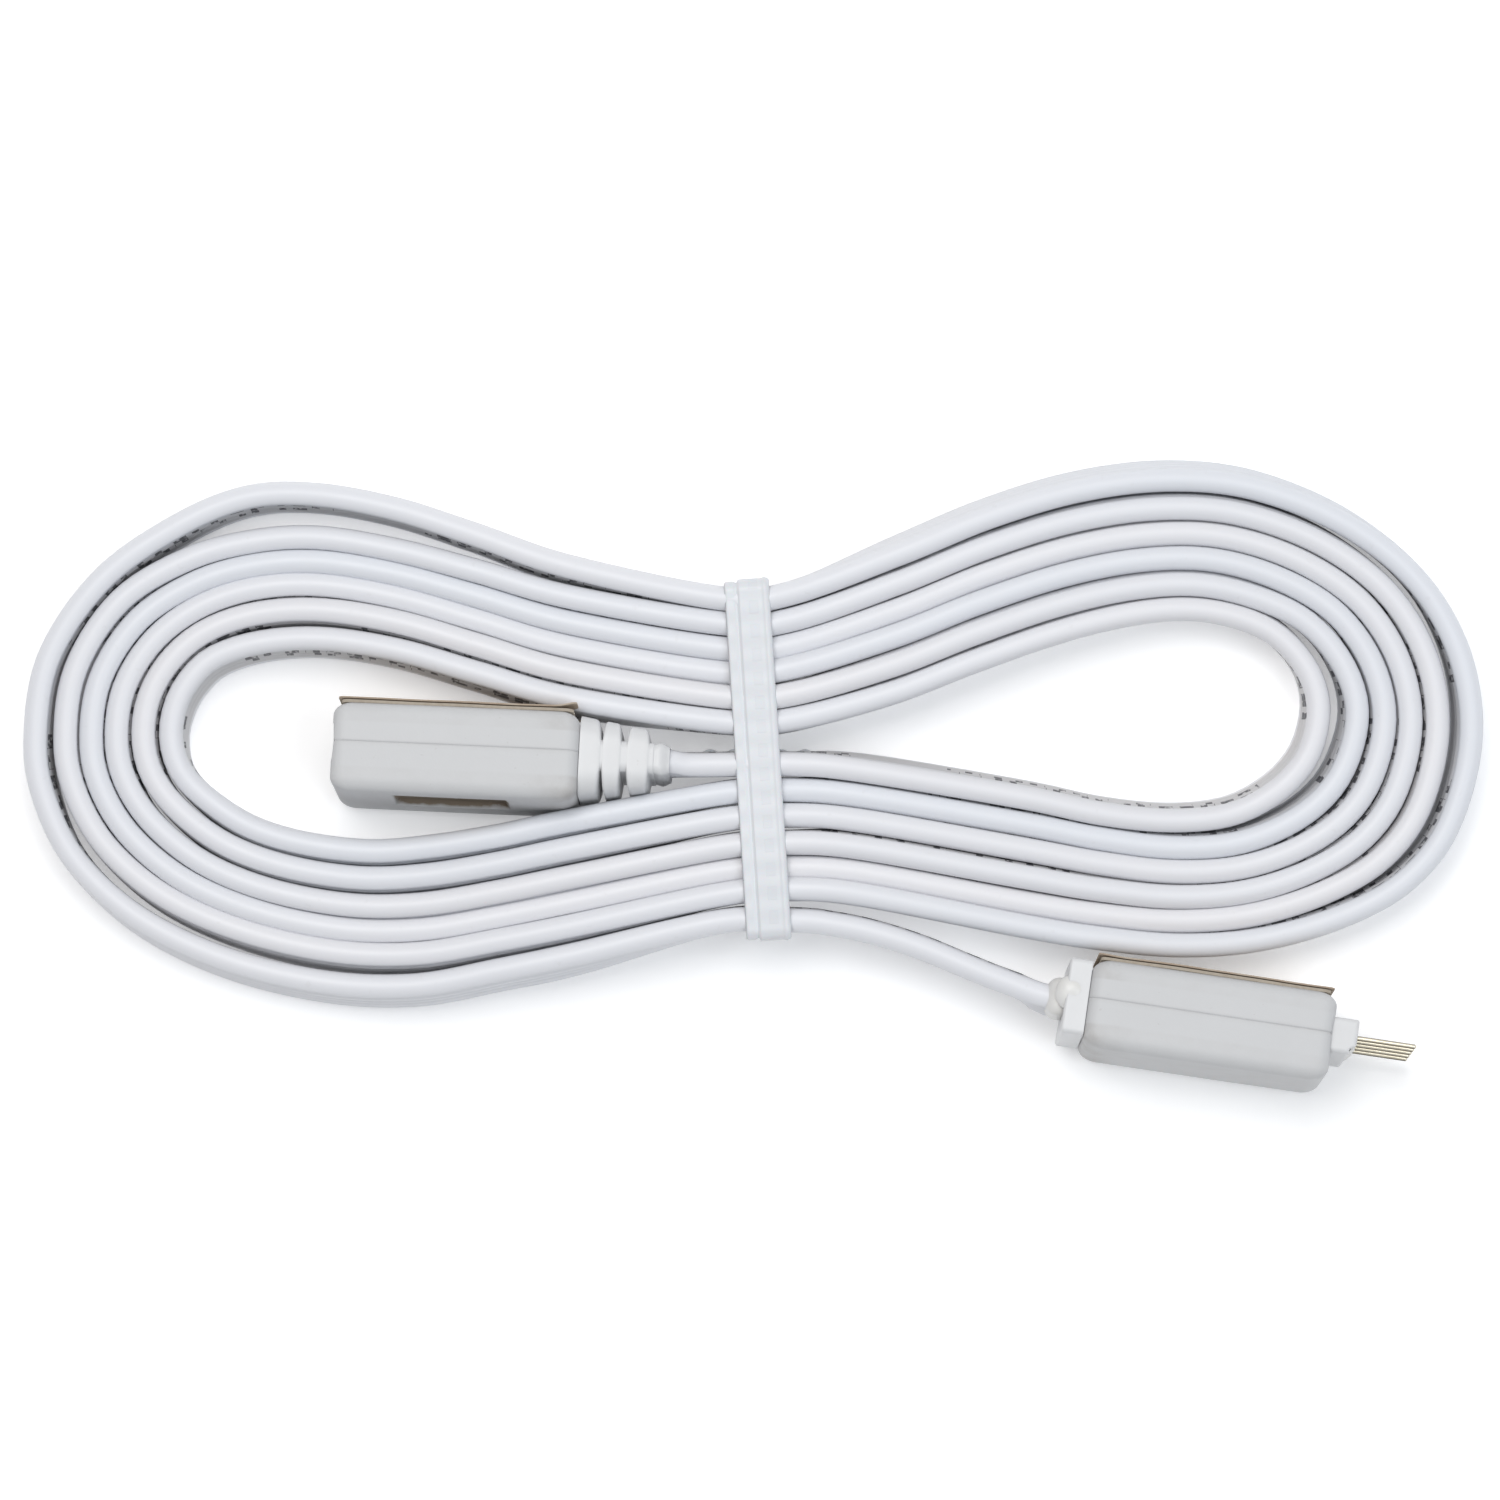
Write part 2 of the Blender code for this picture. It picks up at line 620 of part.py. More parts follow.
def make_strain_relief(frame, materials):
    """The socket's ribbed strain relief: a sleeve round the cord joined to three wide ribs."""
    end_x = -SHELL_LENGTH / 2 - GAP
    start_x = end_x - RELIEF_LENGTH
    wall = RELIEF_SLEEVE_WALL
    relief = cord_section_box(start_x, end_x, wall + SLIP)
    pitch = (RELIEF_LENGTH - RELIEF_RIB) / (len(RELIEF_THICKNESSES) - 1)
    for number, thickness in enumerate(RELIEF_THICKNESSES):
        low_x = start_x + number * pitch
        low = (low_x, -thickness / 2, -RELIEF_DEPTH / 2)
        rib = box_between(low, (low_x + RELIEF_RIB, thickness / 2, RELIEF_DEPTH / 2))
        add_bevel(rib, RELIEF_ROUNDING)
        add_boolean(relief, make_cutter(rib, f"socket_relief_rib_{number + 1}", frame), "UNION")
    slot = cord_section_box(start_x - GAP, end_x + GAP, SLIP)
    add_boolean(relief, make_cutter(slot, "socket_relief_slot", frame))
    link_part(relief, "socket_strain_relief", materials["clear_white"], frame)
    return start_x


def make_plug(materials):
    frame = frame_empty("plug_frame", PLUG_PLACE, PLUG_TURN)
    end_x = SHELL_LENGTH / 2
    windows = [
        window_through("plug_header_window", end_x, HEADER_THICKNESS, HEADER_DEPTH, frame),
        window_through("plug_cord_window", -end_x, CORD_THICKNESS, CORD_WIDTH, frame),
    ]
    make_shell_half("plug_back_shell", 1, 1, windows, frame, materials)
    make_shell_half("plug_front_shell", -1, 1, windows, frame, materials)
    header_x = make_header(frame, materials)
    board_x = make_board("plug", header_x - GAP, frame, materials)
    gland_x = make_collar(frame, materials)
    cord_x = make_cord_end("plug", gland_x, frame, materials)
    make_cores("plug", cord_x, board_x, frame, materials)
    make_clamp("plug", 1, frame, materials)
    make_adhesive("plug", 1, frame, materials)


def make_socket(materials):
    frame = frame_empty("socket_frame", SOCKET_PLACE, SOCKET_TURN)
    end_x = SHELL_LENGTH / 2
    windows = [
        window_through("socket_mouth_window", end_x, HEADER_THICKNESS, HEADER_DEPTH, frame),
        window_through("socket_cord_window", -end_x, CORD_THICKNESS, CORD_WIDTH, frame),
    ]
    make_shell_half("socket_back_shell", -1, -1, windows, frame, materials)
    make_shell_half("socket_front_shell", 1, -1, windows, frame, materials)
    block_x = make_contacts(frame, materials)
    tail_x = SHELL_LENGTH / 2 - MOUTH_DEPTH - GAP - CONTACT_LENGTH
    board_x = make_board("socket", min(block_x, tail_x) - GAP, frame, materials)
    gland_x = make_strain_relief(frame, materials)
    cord_x = make_cord_end("socket", gland_x, frame, materials)
    make_cores("socket", cord_x, board_x, frame, materials)
    make_clamp("socket", -1, frame, materials)
    make_adhesive("socket", -1, frame, materials)


def rounded_rectangle(half_x, half_y, radius, steps=4):
    """The corner points of a rounded rectangle, anticlockwise."""
    points = []
    for quarter, (sx, sy) in enumerate(((1, 1), (-1, 1), (-1, -1), (1, -1))):
        for step in range(steps + 1):
            angle = (quarter + step / steps) * math.pi / 2
            x = sx * (half_x - radius) + radius * math.cos(angle)
            y = sy * (half_y - radius) + radius * math.sin(angle)
            points.append((x, y))
    return points


def make_tie(materials):
    """The band round the waist of the hank, its twisted ends underneath and their wire."""
    high_y, low_y = LEFT_OUTER[0][1] * MM, LEFT_OUTER[-1][1] * MM
    centre_y = (high_y + low_y) / 2
    half_y = (high_y - low_y) / 2 + CORD_THICKNESS / 2 + GAP
    half_z = CORD_WIDTH / 2 + GAP
    wall = TIE_THICKNESS
    inside = rounded_rectangle(half_y, half_z, TIE_ROUNDING)
    outside = rounded_rectangle(half_y + wall, half_z + wall, TIE_ROUNDING + wall)
    band = flat_outline("tie_outline", [outside, inside], TIE_WIDTH)
    middle_z = TWIST_RAISE + CORD_WIDTH / 2
    band.location = (TIE_X, centre_y, middle_z)
    band.rotation_euler = (math.pi / 2, 0.0, math.pi / 2 + math.radians(TIE_SLANT))
    link_part(band, "tie_strap", materials["tie"])
    twist_z = TWIST_WIDTH / 2 + SLIP
    start_x = TIE_X - TWIST_LENGTH / 2
    make_twist(start_x, centre_y, twist_z, materials)
    low_x = start_x + TWIST_LENGTH + GAP
    high_x = low_x + WIRE_REACH
    for number, offset in enumerate((-WIRE_DIAMETER, WIRE_DIAMETER), 1):
        wire = rod_along_x(low_x, high_x, WIRE_DIAMETER, twist_z, centre_y + offset, 8)
        link_part(wire, f"tie_wire_end_{number}", materials["wire"])


def make_twist(start_x, y, z, materials):
    """The two ends of the strap twisted into one spiral bar that lies under the hank."""
    curve = bpy.data.curves.new("tie_twist", "CURVE")
    curve.dimensions = "3D"
    curve.twist_mode = "Z_UP"
    curve.bevel_depth = TWIST_THICKNESS / 2
    curve.bevel_resolution = 1
    curve.extrude = (TWIST_WIDTH - TWIST_THICKNESS) / 2
    curve.use_fill_caps = True
    steps = round(TWIST_TURNS * 12)
    spline = curve.splines.new("POLY")
    spline.points.add(steps)
    for i, point in enumerate(spline.points):
        share = i / steps
        point.co = (start_x + share * TWIST_LENGTH, y, z, 1.0)
        point.tilt = share * TWIST_TURNS * 2 * math.pi
    twist = bpy.data.objects.new("tie_twist", curve)
    bpy.context.scene.collection.objects.link(twist)
    link_part(twist, "tie_twist", materials["tie"])


def main():
    materials = make_materials()
    make_hank(materials)
    make_lead("cord_socket_lead", SOCKET_LEAD, materials)
    make_lead("cord_plug_lead", PLUG_LEAD, materials)
    make_plug(materials)
    make_socket(materials)
    make_tie(materials)


clear_scene()
PARTS = new_collection(PART_NAME)
CUTTERS = new_collection(f"{PART_NAME}_cutters")
main()
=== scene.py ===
"""Finished model of a two metre flat extension cord, wound in a hank and tied.

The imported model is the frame: places come from its nodes, its record and the cord's route. The
route's lines stay within 0.5 mm of the part's, and the turns are laid out between them here.
Metres; sizes are in millimetres times MM.
"""

import json
import math

import bpy
import numpy as np
from mathutils import Matrix, Vector

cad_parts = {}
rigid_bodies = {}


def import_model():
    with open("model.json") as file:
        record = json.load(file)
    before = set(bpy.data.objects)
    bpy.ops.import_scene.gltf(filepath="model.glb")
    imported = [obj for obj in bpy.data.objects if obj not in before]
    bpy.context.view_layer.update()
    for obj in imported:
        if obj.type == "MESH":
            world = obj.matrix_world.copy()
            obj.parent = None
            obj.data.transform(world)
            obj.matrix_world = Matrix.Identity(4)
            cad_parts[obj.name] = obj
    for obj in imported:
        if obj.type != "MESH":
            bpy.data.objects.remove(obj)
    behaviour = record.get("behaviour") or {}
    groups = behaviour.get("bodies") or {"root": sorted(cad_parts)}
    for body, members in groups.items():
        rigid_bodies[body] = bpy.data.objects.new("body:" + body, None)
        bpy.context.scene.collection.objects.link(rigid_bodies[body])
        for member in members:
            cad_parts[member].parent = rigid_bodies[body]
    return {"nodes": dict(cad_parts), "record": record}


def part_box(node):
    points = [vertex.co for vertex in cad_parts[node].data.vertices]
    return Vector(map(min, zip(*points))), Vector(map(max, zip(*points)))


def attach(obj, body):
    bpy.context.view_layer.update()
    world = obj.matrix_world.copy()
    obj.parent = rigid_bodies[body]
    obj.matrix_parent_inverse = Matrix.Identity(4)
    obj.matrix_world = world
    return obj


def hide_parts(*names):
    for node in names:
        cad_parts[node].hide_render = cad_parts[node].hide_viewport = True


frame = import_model()

bl_info = {
    "name": "Extension cord",
    "version": (1, 0, 0),
    "blender": (4, 5, 0),
    "location": "3D View > Sidebar > Extension cord",
    "description": "Builds a flat extension cord in a tied hank, piece by piece",
    "category": "Add Mesh",
}

MM = 0.001
BODY = "root"

# How the hank lies: lifted by the tie's twist and leaning to either side of it, as in the part,
# and leaning outwards at its ends
TIE_X = 0.6 * MM
TIE_SLANT = math.radians(3.7)
WAIST = 3.7 * MM
TWIST_RAISE = 3.8 * MM
RAISE_REACH = 62.0 * MM
LEAN_LEFT = 0.18
LEAN_RIGHT = -0.125
LEAN_REACH = 4.0 * MM
LEAN_SPREAD = 1.8
END_LEAN = 1.5

# The cord's upper edge in millimetres: pairs of a place on the innermost turn and the place
# beside it on the outermost turn. The left lobe runs from the top of the tie round to its
# bottom, and the right lobe from the bottom to the top.
LEFT_LOBE = (
    ((-3.3, 5.9), (-3.3, 19.3)), ((-19.9, 8.6), (-19.9, 22.9)), ((-29.7, 11.3), (-30.2, 26.4)),
    ((-38.4, 13.8), (-38.9, 29.2)), ((-46.6, 15.1), (-47.7, 30.8)), ((-53.4, 14.8), (-55.3, 30.5)),
    ((-58.7, 13.2), (-62.9, 27.4)), ((-61.6, 10.6), (-71.1, 21.6)), ((-63.2, 7.4), (-76.9, 13.1)),
    ((-63.5, 3.8), (-78.4, 4.1)), ((-62.2, 0.3), (-77.3, -2.6)), ((-59.1, -2.7), (-73.7, -9.4)),
    ((-54.5, -5.5), (-66.9, -15.4)), ((-48.7, -7.2), (-57.5, -19.8)),
    ((-41.7, -8.0), (-46.6, -22.3)), ((-35.1, -7.5), (-36.8, -22.6)),
    ((-27.5, -6.3), (-27.5, -20.9)), ((-19.9, -4.7), (-19.3, -19.2)), ((-3.3, -1.9), (-3.3, -15.8)),
)
RIGHT_LOBE = (
    ((4.0, 1.3), (4.0, -12.3)), ((11.8, 0.5), (11.8, -13.0)), ((29.2, -2.4), (29.2, -16.4)),
    ((37.9, -4.2), (37.9, -17.8)), ((45.5, -5.0), (46.6, -18.6)), ((52.1, -4.4), (55.4, -18.0)),
    ((57.1, -2.0), (64.1, -15.6)), ((60.4, 1.4), (71.2, -11.8)), ((61.8, 5.3), (76.1, -5.7)),
    ((61.7, 9.0), (78.6, 3.9)), ((60.0, 12.5), (77.3, 13.2)), ((56.7, 15.6), (72.5, 21.3)),
    ((52.0, 17.4), (64.6, 27.4)), ((46.6, 18.0), (54.8, 31.2)), ((40.1, 17.2), (45.5, 32.1)),
    ((32.5, 15.2), (35.7, 30.9)), ((23.7, 12.1), (25.9, 28.0)), ((15.0, 8.8), (16.1, 24.0)),
    ((4.0, 6.1), (4.0, 19.8)),
)
# Where the six turns lie between those two lines, at some of the pairs
LEFT_SHARES = {
    0: (0, 0.205, 0.40, 0.595, 0.80, 1),
    3: (0, 0.200, 0.375, 0.54, 0.71, 1),
    5: (0, 0.200, 0.375, 0.53, 0.695, 1),
    7: (0, 0.205, 0.40, 0.59, 0.79, 1),
    13: (0, 0.205, 0.41, 0.59, 0.76, 1),
    18: (0, 0.205, 0.42, 0.61, 0.79, 1),
}
RIGHT_SHARES = {
    0: (0, 0.210, 0.41, 0.63, 0.83, 1),
    3: (0, 0.205, 0.40, 0.61, 0.81, 1),
    6: (0, 0.240, 0.43, 0.615, 0.795, 1),
    9: (0, 0.260, 0.44, 0.61, 0.785, 1),
    12: (0, 0.205, 0.41, 0.60, 0.79, 1),
    18: (0, 0.200, 0.41, 0.59, 0.79, 1),
}
# How far each turn stands above the others there, in millimetres
LEFT_RISES = {
    1: (0.45, 0.35, -0.60, -0.35, 0.10, 0.55),
    9: (0.10, 0.00, 0.05, 0.00, 0.10, 0.00),
    16: (0.20, 0.40, 0.30, -0.60, 0.10, 0.35),
}
RIGHT_RISES = {
    2: (0.40, -0.40, 0.00, 0.55, -0.65, 0.25),
    9: (0.00, 0.10, 0.00, 0.05, 0.00, 0.10),
    16: (0.00, 0.55, 0.15, -0.50, 0.00, 0.55),
}
# The unwound stretches in millimetres, as the line of the cord's middle
SOCKET_LEAD = ((-7.0, 1.2, 8.3),)
PLUG_LEAD = (
    (5.3, -15.75, 7.6), (8.5, -16.1, 7.55), (12.0, -16.75, 7.5), (15.6, -17.75, 7.5),
    (19.2, -19.0, 7.55), (22.8, -20.5, 7.65), (26.4, -21.95, 7.75), (29.2, -23.0, 7.8),
)

# Places along a connector's axis from the middle of its shell, in millimetres
HELD_END = -7.4
HELD_MIDDLE = -10.5
RELIEF_SPAN = (-21.5, -13.7)
RELIEF_MIDDLE = -17.6
COLLAR_SPAN = (-15.9, -13.7)
GLUE_START = -18.1
HEADER_SPAN = (10.4, 16.05)
PIN_SPAN = (8.0, 22.55)

# Sizes of the connectors' pieces in millimetres; a half size goes from a middle to a side
SHELL_HALF = (13.4, 4.85, 7.0)
SHELL_CORNER = 1.5
SHELL_CROWN = 0.10
PARTING_OFFSET = 0.45
PARTING_LIP = 0.02
CORD_WAY = (-1, 1.5, 3.95)
HEADER_WAY = (1, 2.1, 6.05)
RECESS_MIDDLE = 0.4
RECESS_REACH = 6.2
RECESS_SIDES = (-1.8, 4.0)
RECESS_EDGE = 0.3
RECESS_DEPTH = 0.7
TOP_FACE = (2.0, 7.0)
ADHESIVE_BASE = 5.11 - 0.71
PAD_HALF = (12.6, 5.7)
PAD_LEVELS = (0.04, 0.36)
LINER_HALF = (12.95, 6.0)
LINER_LEVELS = (0.41, 0.56)
INTO_SHELL = 0.25
RELIEF_RIBS = ((0.07, 0.37), (0.46, 0.71), (0.74, 1.12))
RELIEF_SPINE = 1.7
RELIEF_BULB = 1.7
RELIEF_ROUNDING = 2.3
COLLAR_HALF = (3.95, 5.8)
COLLAR_ROUNDING = 0.55
GLUE_HALF = (2.05, 4.6)
DAB_RADII = (1.65, 1.8, 1.15)
HEADER_HALF = (1.95, 5.9)
HEADER_ROUNDING = 0.5
SEAL_HALF = (1.28, 5.22)
PIN_PITCH = 2.54
PLUG_INSIDE = ("plug_circuit_board", "plug_cord_clamp", *(f"plug_core_{n}" for n in range(1, 6)))
CORE_COLOURS = {
    "insulation_black": (0.02, 0.02, 0.02),
    "insulation_green": (0.03, 0.30, 0.07),
    "insulation_red": (0.50, 0.02, 0.02),
    "insulation_blue": (0.02, 0.07, 0.45),
    "insulation_white": (0.75, 0.75, 0.72),
}
CORD_NODES = (
    "cord_hank", "cord_plug_lead", "cord_socket_lead", "plug_cord_end", "socket_cord_end"
)

# The finished materials by the record's slot, filled on first use
MATERIALS = {}


# ---------------- settings


class CordSettings(bpy.types.PropertyGroup):
    width: bpy.props.FloatProperty(
        name="Width", description="Width of the flat cord", default=7.6 * MM, unit="LENGTH"
    )
    thickness: bpy.props.FloatProperty(
        name="Thickness", description="Thickness over the ridges", default=2.78 * MM, unit="LENGTH"
    )
    groove: bpy.props.FloatProperty(
        name="Groove", description="Depth between two ridges", default=0.28 * MM, unit="LENGTH"
    )
    core_pitch: bpy.props.FloatProperty(
        name="Ridge pitch", description="Distance between ridges", default=1.45 * MM, unit="LENGTH"
    )
    length: bpy.props.FloatProperty(
        name="Length", description="Real length of the cord", default=2.0, unit="LENGTH"
    )
    rings: bpy.props.IntProperty(
        name="Rings", description="Number of sections along the cord", default=1600
    )


class ConnectorSettings(bpy.types.PropertyGroup):
    wall: bpy.props.FloatProperty(
        name="Wall", description="Thickness of the shells", default=0.9 * MM, unit="LENGTH"
    )
    rounding: bpy.props.FloatProperty(
        name="Rounding", description="Radius of the shells' edges", default=1.45 * MM, unit="LENGTH"
    )
    end_rounding: bpy.props.FloatProperty(
        name="End rounding", description="Its reach at the ends", default=2.2 * MM, unit="LENGTH"
    )
    parting_gap: bpy.props.FloatProperty(
        name="Parting gap", description="Between two halves", default=0.01 * MM, unit="LENGTH"
    )
    pin_diameter: bpy.props.FloatProperty(
        name="Pin diameter", description="Diameter of a pin", default=0.52 * MM, unit="LENGTH"
    )


class TieSettings(bpy.types.PropertyGroup):
    width: bpy.props.FloatProperty(
        name="Width", description="Width of the band", default=4.9 * MM, unit="LENGTH"
    )
    thickness: bpy.props.FloatProperty(
        name="Thickness", description="Thickness of the band", default=0.5 * MM, unit="LENGTH"
    )
    flange: bpy.props.FloatProperty(
        name="Flange", description="Width of its thin edge strip", default=1.3 * MM, unit="LENGTH"
    )


class StageSettings(bpy.types.PropertyGroup):
    camera_height: bpy.props.FloatProperty(
        name="Camera height", description="Above the floor", default=983.6 * MM, unit="LENGTH"
    )
    camera_x: bpy.props.FloatProperty(
        name="Camera X", description="Place along the hank", default=-0.24 * MM, unit="LENGTH"
    )
    camera_y: bpy.props.FloatProperty(
        name="Camera Y", description="Place across the hank", default=2.81 * MM, unit="LENGTH"
    )
    view_angle: bpy.props.FloatProperty(
        name="View angle", description="Field of view", default=math.radians(9.58), subtype="ANGLE"
    )


class ExtensionCordSettings(bpy.types.PropertyGroup):
    cord: bpy.props.PointerProperty(type=CordSettings)
    connector: bpy.props.PointerProperty(type=ConnectorSettings)
    tie: bpy.props.PointerProperty(type=TieSettings)
    stage: bpy.props.PointerProperty(type=StageSettings)


# ---------------- meshes


def signed_volume(points, quads):
    """Volume enclosed by the quads, negative if they face inward."""
    a, b, c, d = (points[quads[:, i]] for i in range(4))
    return (np.cross(b - a, c - a) * a).sum() / 6 + (np.cross(c - a, d - a) * a).sum() / 6


def closed_mesh(name, grid, loop=False, uv=None, attributes=None):
    """A closed mesh on a grid of rings: grid[i, j] is point j of ring i, and each ring is closed.

    With loop the last ring joins the first. Otherwise the first and last ring end in a pole at
    their mean. uv and the attributes have one value for each point of the grid.
    """
    rings, count = grid.shape[:2]
    points = grid.reshape(-1, 3)
    i, j = np.meshgrid(np.arange(rings if loop else rings - 1), np.arange(count), indexing="ij")
    i, j = i.ravel(), j.ravel()
    following, beside = (i + 1) % rings, (j + 1) % count
    quads = np.stack(
        [i * count + j, i * count + beside, following * count + beside, following * count + j], 1
    )
    triangles = np.empty((0, 3), int)
    if not loop:
        points = np.vstack([points, grid[0].mean(0), grid[-1].mean(0)])
        k = np.arange(count)
        turn = (k + 1) % count
        last = (rings - 1) * count
        start_cap = np.stack([turn, k, np.full(count, rings * count)], 1)
        end_cap = np.stack([last + k, last + turn, np.full(count, rings * count + 1)], 1)
        triangles = np.vstack([start_cap, end_cap])
    if signed_volume(points - points.mean(0), quads) < 0:
        quads, triangles = quads[:, ::-1], triangles[:, ::-1]
    mesh = bpy.data.meshes.new(name)
    mesh.from_pydata(points.tolist(), [], quads.tolist() + triangles.tolist())
    mesh.shade_smooth()
    for label, values in (attributes or {}).items():
        layer = mesh.attributes.new(label, "FLOAT", "POINT")
        flat = np.zeros(len(points), np.float32)
        flat[: rings * count] = np.broadcast_to(values, (rings, count)).ravel()
        layer.data.foreach_set("value", flat)
    if uv is not None:
        set_uv(mesh, uv)
    return add_object(name, mesh)


def add_object(name, data):
    obj = bpy.data.objects.new(name, data)
    bpy.context.scene.collection.objects.link(obj)
    return obj


def set_uv(mesh, uv):
    """Write each grid point's UV value, and the mean one at a pole, to the mesh's corners."""
    corners = np.empty(len(mesh.loops), int)
    mesh.loops.foreach_get("vertex_index", corners)
    flat = uv.reshape(-1, 2)
    extra = len(mesh.vertices) - len(flat)
    flat = np.vstack([flat, np.repeat(flat.mean(0)[None], extra, 0)])
    layer = mesh.uv_layers.new(name="length")
    layer.data.foreach_set("uv", flat[corners].astype(np.float32).ravel())


def rounded_rings(half_a, half_b, radius, arc=8, side=16):
    """Rounded rectangles, one for each value of the arrays, as an array (rings, points, 2).

    A corner is a quarter circle about a centre one radius inside both sides, and the points
    between two corners divide the straight side evenly.
    """
    half_a, half_b, radius = np.broadcast_arrays(half_a, half_b, radius)
    quarter = np.repeat(np.arange(4), arc + 1)
    angle = (quarter + np.tile(np.arange(arc + 1) / arc, 4)) * math.pi / 2
    sign_a = np.array([1, -1, -1, 1])[quarter]
    sign_b = np.array([1, 1, -1, -1])[quarter]
    a = sign_a * (half_a - radius)[:, None] + radius[:, None] * np.cos(angle)
    b = sign_b * (half_b - radius)[:, None] + radius[:, None] * np.sin(angle)
    corners = np.stack([a, b], -1)
    places = np.concatenate([
        np.concatenate([q * (arc + 1) + np.arange(arc + 1),
                        q * (arc + 1) + arc + np.arange(1, side + 1) / (side + 1)])
        for q in range(4)
    ])
    low = np.floor(places).astype(int)
    share = (places - low)[:, None]
    high = (low + 1) % corners.shape[1]
    return corners[:, low] * (1 - share) + corners[:, high] * share


def smooth_step(x, low, high):
    """0 below low, 1 above high, and three squares less two cubes of the share between."""
    t = np.clip((x - low) / (high - low), 0, 1)
    return t * t * (3 - 2 * t)


def arc_profile(start, end, steps):
    """Cosines and sines of the angles between start and end, in quarter turns."""
    angle = np.linspace(start, end, steps) * math.pi / 2
    return np.cos(angle), np.sin(angle)


def waves(points, size, seed):
    """Smooth unevenness between about -1 and 1: sines along three slanted directions."""
    turn = np.random.default_rng(seed)
    total = 0
    for _ in range(3):
        direction = turn.normal(size=3)
        direction /= np.linalg.norm(direction)
        total = total + np.sin(points @ direction * (2 * math.pi / size) + turn.uniform(0, 6.3))
    return total / 3


def place(obj, matrix, node_names, slot):
    obj.data.transform(matrix)
    declare(obj, node_names, slot)


def declare(obj, node_names, slot):
    """Give the piece its slot's material, hide the CAD parts it stands for, and attach it to the
    body it rides on.
    """
    obj.data.materials.append(shared_materials()[slot])
    if node_names:
        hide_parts(*node_names)
    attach(obj, BODY)


# ---------------- materials


def add_node(tree, kind, settings=None, **inputs):
    """A shader node with these settings; an input is a value, or an output to link from."""
    made = tree.nodes.new(kind)
    for key, value in (settings or {}).items():
        setattr(made, key, value)
    set_inputs(tree, made, **inputs)
    return made


def set_inputs(tree, node, **inputs):
    """Set or link the node's inputs by name, with _ for a space."""
    for label, value in inputs.items():
        connect(tree, node.inputs[label.replace("_", " ")], value)


def connect(tree, socket, value):
    if isinstance(value, bpy.types.NodeSocket):
        tree.links.new(value, socket)
    else:
        socket.default_value = value


def maths(tree, operation, *values):
    made = tree.nodes.new("ShaderNodeMath")
    made.operation = operation
    for socket, value in zip(made.inputs, values):
        connect(tree, socket, value)
    return made.outputs[0]


def product(tree, first, *others):
    """All the values multiplied together."""
    for other in others:
        first = maths(tree, "MULTIPLY", first, other)
    return first


def vary(tree, value, low, spread):
    """From low to low plus spread as the value goes from 0 to 1."""
    return maths(tree, "MULTIPLY_ADD", value, spread, low)


def off_middle(tree, value, middle):
    """How far the value is from the middle, either way."""
    return maths(tree, "ABSOLUTE", maths(tree, "SUBTRACT", value, middle))


def cycle(tree, value, pitch):
    """How far through its own pitch the value is, from 0 to 1."""
    return maths(tree, "FRACT", maths(tree, "MULTIPLY", value, 1 / pitch))


def length_map(tree):
    """The UV map's distance along the piece and across or round it, in metres."""
    uv = add_node(tree, "ShaderNodeUVMap", {"uv_map": "length"}).outputs["UV"]
    split = add_node(tree, "ShaderNodeSeparateXYZ", Vector=uv)
    return split.outputs["X"], split.outputs["Y"]


def painted_shade_and_grime_map(tree):
    return add_node(tree, "ShaderNodeAttribute", {"attribute_name": "painted_shade_and_grime"}).outputs["Fac"]


def mix_colour(tree, share, first, second):
    """The first colour where share is 0 and the second where it is 1."""
    made = add_node(tree, "ShaderNodeMix", {"data_type": "RGBA"})
    connect(tree, made.inputs[0], share)
    connect(tree, made.inputs[6], first)
    connect(tree, made.inputs[7], second)
    return made.outputs[2]


def noise(tree, scale, detail=3.0, vector=None, roughness=0.5):
    if vector is None:
        vector = add_node(tree, "ShaderNodeTexCoord").outputs["Object"]
    values = {"Vector": vector, "Scale": scale, "Detail": detail, "Roughness": roughness}
    return add_node(tree, "ShaderNodeTexNoise", **values).outputs["Fac"]


def between(tree, value, low, high):
    """0 below low, 1 above high and smooth between."""
    values = {"Value": value, "From_Min": low, "From_Max": high}
    kind = {"interpolation_type": "SMOOTHSTEP"}
    return add_node(tree, "ShaderNodeMapRange", kind, **values).outputs["Result"]


def bump(tree, height, distance, strength=1.0, normal=None):
    made = add_node(tree, "ShaderNodeBump", Height=height, Distance=distance, Strength=strength)
    if normal is not None:
        connect(tree, made.inputs["Normal"], normal)
    return made.outputs["Normal"]


def new_material(name):
    """A material and the node tree and shader in it."""
    material = bpy.data.materials.new(name)
    material.use_nodes = True
    tree = material.node_tree
    return material, tree, tree.nodes["Principled BSDF"]


